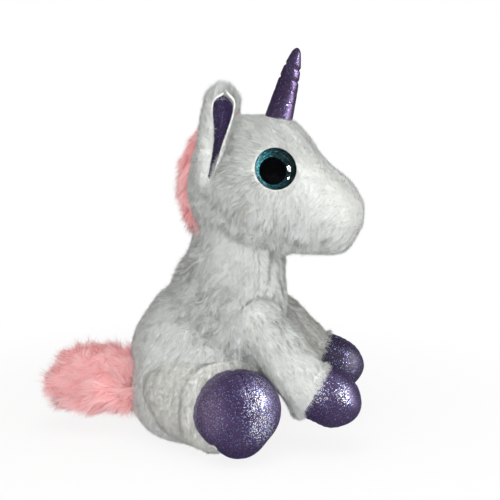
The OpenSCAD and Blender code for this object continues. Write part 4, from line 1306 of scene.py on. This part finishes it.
# painted shade: the thigh's pile is toned dark, for the shade beside the hind hoof
thighLook = dict(torsoLook, shape=thighShape, tone=0.26, streak=0.16, grain=0.05, guard=0.03,
                 driftSize=16, tuftPull=0.4)
hoofWay = slopeWay(foreleg["hoofSlope"])
hoofFront = np.cross(acrossWay, hoofWay)
for side, word in sides:
    def onLeg(p):
        return setOn(p, side, shoulder, foreleg["leftLean"] if side > 0 else 0)

    # painted shade: the far leg's pile is toned darker, as it stands in shade
    legLook = dict(torsoLook, shape=legShape, tone=0.80 if side < 0 else 0.38)
    low = onLeg(shoulder + slopeWay(foreleg["slope"]) * 13)
    way = unit(onLeg(ankle) - onLeg(shoulder))
    pelt("forelegPelt_" + word, "forelegPile_" + word, onLeg(gridOf(forelegSurface, 90, 90)),
         "foreleg_sleeve_" + word, legLook, heading(*way), 400 + side,
         ("torso", "foreleg_" + word, onLeg(shoulder), low), legShare, wrap=True)
    for panel, start in (("outer", np.pi), ("inner", 0.0)):
        q = gridOf(lambda u, v: hoofSurface(u, v, frontHoof, frontCuff, hoofWay, hoofFront, acrossWay,
                                            start, 0.0), 64, 64)
        hoof = gridMesh("frontHoof_" + panel + "_" + word, onLeg(q), wall=1.2)
        finish(hoof, frontCloths[word], "foreleg_" + word,
               "front_hoof_" + panel + "_" + word)

    bend = ("torso", "hindleg_" + word, setOn(hip - hindWay * 4, side),
            setOn(hindCuff - hindWay * 2, side))
    pelt("thighPelt_" + word, "thighPile_" + word, setOn(gridOf(thighSurface, 130, 90), side),
         "hindleg_sleeve_" + word, thighLook, heading(-0.35, 0, -1), 420 + side, bend, thighShare,
         wrap=True)
    for panel, start in (("front", -np.pi / 2), ("back", np.pi / 2)):
        q = gridOf(lambda u, v: hoofSurface(u, v, hindHoof, hindCuff, hindWay, hindAcross, upWay,
                                            start, -np.pi / 2), 80, 80)
        hoof = gridMesh("hindHoof_" + panel + "_" + word, setOn(q, side), wall=1.2)
        finish(hoof, hoofCloth, "hindleg_" + word,
               "hind_hoof_" + panel + "_" + word)
print("legs done")

# The mane is a curved pad behind the head that carries long strands.
mane = {"middle": (24.0, 142.0), "reachBack": 27.0, "reachUp": 38.8, "halfWidth": 8.0, "from": 100.0,
        "to": 216.0}


# An arc over the crown and down to the nape, carried across the head and bowed towards it at the
# sides.
def maneSurface(u, v):
    a = np.radians(mane["from"] + (mane["to"] - mane["from"]) * u)
    y = mane["halfWidth"] * (2 * v - 1)
    out = vec(np.cos(a), 0 * a, np.sin(a))
    x, z = mane["middle"]
    p = vec(x + mane["reachBack"] * np.cos(a), y, z + mane["reachUp"] * np.sin(a))
    lift = 2.4 * dome(np.abs(2 * v - 1)) * np.sin(np.pi * u) ** 0.4 - y * y / 50
    return p + out * lift[..., None]


def maneShape(p):
    end = np.clip((183 - p[..., 2]) / 26, 0.1, 1)
    return 4.5 + 8.0 * end, 30 + 26 * (1 - end), 0.40 + 0 * p[..., 0]


def maneFlow(p, normal):
    return vec(-0.45 + 0 * p[..., 0], np.sign(p[..., 1]) * 0.25, -1 + 0 * p[..., 0])


longLook = dict(furLook, perArea=9.0, guard=0.0, grain=0.0, streak=0.0, width=0.34, tone=0.93)
maneLook = dict(longLook, steps=4, shape=maneShape, driftSize=10, sway=0.38, stray=0.20, riseSpread=12,
                tuftSize=4.5, tuftPull=0.6, tilt=0.22, lay=0.42, lift=0.6, wave=0.22, waveSize=7.0,
                droop=0.25)
pelt("manePad", "manePile", gridOf(maneSurface, 90, 24), "mane_strip", maneLook, maneFlow, 500, "head",
     dye="pink")

# The tail is a soft core with long strands that lie back along it.
tail = {"rootX": -33.0, "endX": -82.0, "height": 28.0, "rootRadius": 10.0, "radius": 12.5,
        "bendFrom": (-31, 0, 28.5), "bendTo": (-42, 0, 28.5)}


# A body of revolution round an axis that rises a little and falls: the radius swells from the root
# and closes as half an ellipse does at the end.
def tailSurface(u, v):
    x = tail["rootX"] + (tail["endX"] - tail["rootX"]) * v
    z = tail["height"] + 2.2 * np.sin(np.pi * np.minimum(1, v * 1.1)) - 1.0 * v
    r = tail["rootRadius"] + (tail["radius"] - tail["rootRadius"]) * ease(v / 0.3)
    r = r * dome((v - 0.55) / 0.45) * np.sqrt(clip01(v / 0.04))
    a = 2 * np.pi * u
    p = vec(x, r * np.cos(a), z + r * 1.02 * np.sin(a))
    return p + unit(p - vec(x, 0 * x, z) + 1e-6) * (drift(p, 16, 51) * 0.7)[..., None]


def tailShape(p):
    back = clip01((-36 - p[..., 0]) / 14)
    return 15.5 + 0 * back, 52 + 10 * back, 0.65 + 0 * back


tailLook = dict(longLook, steps=3, shape=tailShape, driftSize=12, sway=0.42, stray=0.22, riseSpread=11,
                tuftSize=5.0, tilt=0.20, lay=0.45, lift=0.7, wave=0.26, waveSize=7.5, droop=0.10)
pelt("tailCore", "tailPile", gridOf(tailSurface, 90, 90), "tail_cover", tailLook,
     heading(-1, 0, 0), 510, ("torso", "tail", tail["bendFrom"], tail["bendTo"]), dye="pink",
     wrap=True, wall=0.0)
print("mane and tail done")

# The horn leans forward and is pinched by turns of thread.
horn = {
    "foot": (44.0, 0.0, 179.0), "tilt": 15.0, "length": 38.0, "sunk": 5.0,
    "heights": [-5, 0, 8, 18, 28, 34, 38], "radii": [7.8, 7.6, 6.9, 5.9, 4.6, 3.0, 1.7],
    "pinches": [7.1, 13.9, 20.7, 27.5], "slant": 1.1, "depths": [0.15, 0.20, 0.75, 0.80], "width": 0.8,
}
hornWay = np.array([math.sin(math.radians(horn["tilt"])), 0, math.cos(math.radians(horn["tilt"]))])
hornX = np.array([hornWay[2], 0, -hornWay[0]])


# The radius falls from the foot to the tip. Each pinch is a bell cut out of it, slanted round the
# horn, and the cloth puckers in fine ridges beside it. The tip closes as half a ball and folds over.
def hornRadius(z, a):
    r = smoothTable(z, horn["heights"], horn["radii"], 1.5)
    for k, level in enumerate(horn["pinches"]):
        at = level + horn["slant"] * np.cos(a + 0.9 + 0.5 * k)
        near = bell(z - at, horn["width"])
        r = r - horn["depths"][k] * near + 0.08 * bell(z - at, 3.2) * np.sin(7 * a + 2 * k)
    return r


def hornSurface(u, v):
    z = -horn["sunk"] + (horn["length"] + horn["sunk"]) * np.sin(v * np.pi / 2) ** 0.9
    a = 2 * np.pi * u
    cap = dome((z - horn["length"] + 2.6) / 2.6)
    r = hornRadius(z, a) * cap
    fold = 0.6 * bell(np.cos(a - 2.2) - 1, 0.25) * ease((z - 26) / 10) * cap
    return around(horn["foot"] + z[..., None] * hornWay, r - fold, a, hornX, acrossWay)


hornPiece = gridMesh("hornCloth", gridOf(hornSurface, 129, 200), wrap=True)
finish(hornPiece, hornCloth, "head", "horn_cover")
turns = []
a = 2 * np.pi * np.linspace(0, 1, 97)
for k, level in enumerate(horn["pinches"]):
    z = level + horn["slant"] * np.cos(a + 0.9 + 0.5 * k)
    path = around(horn["foot"] + z[:, None] * hornWay, hornRadius(z, a) - 0.12, a, hornX, acrossWay)
    rings = thinRoll(path, 0.28, hornWay)
    rings[:, -1] = rings[:, 0]
    turns.append(gridMesh("turn%d" % k, rings, wrap=True))
with bpy.context.temp_override(active_object=turns[0], selected_objects=turns,
                               selected_editable_objects=turns):
    bpy.ops.object.join()
turns[0].name = "hornThread"
threadTwist = plasticMaterial("threadTwist", (0.035, 0.018, 0.065), 0.7, 0.3)
finish(turns[0], threadTwist, "head", "horn_thread")
print("horn done")

# Hidden pieces keep their shapes and get their own finishes, picked by a word in their names.
hidden = {
    "tail_stuffing": fibreMaterial("pinkFill", (0.86, 0.66, 0.66)), "stuffing": fibre,
    "pellet_bag": bagMaterial("cottonBag"),
    "lock_washer": plasticMaterial("washerWhite", (0.72, 0.72, 0.70), 0.45, 0.2),
}
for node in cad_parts:
    name = node if isinstance(node, str) else node["name"]
    kinds = [kind for word, kind in hidden.items() if word in name]
    if kinds:
        dress(bpy.data.objects[name], kinds[0])
print("hidden pieces done")
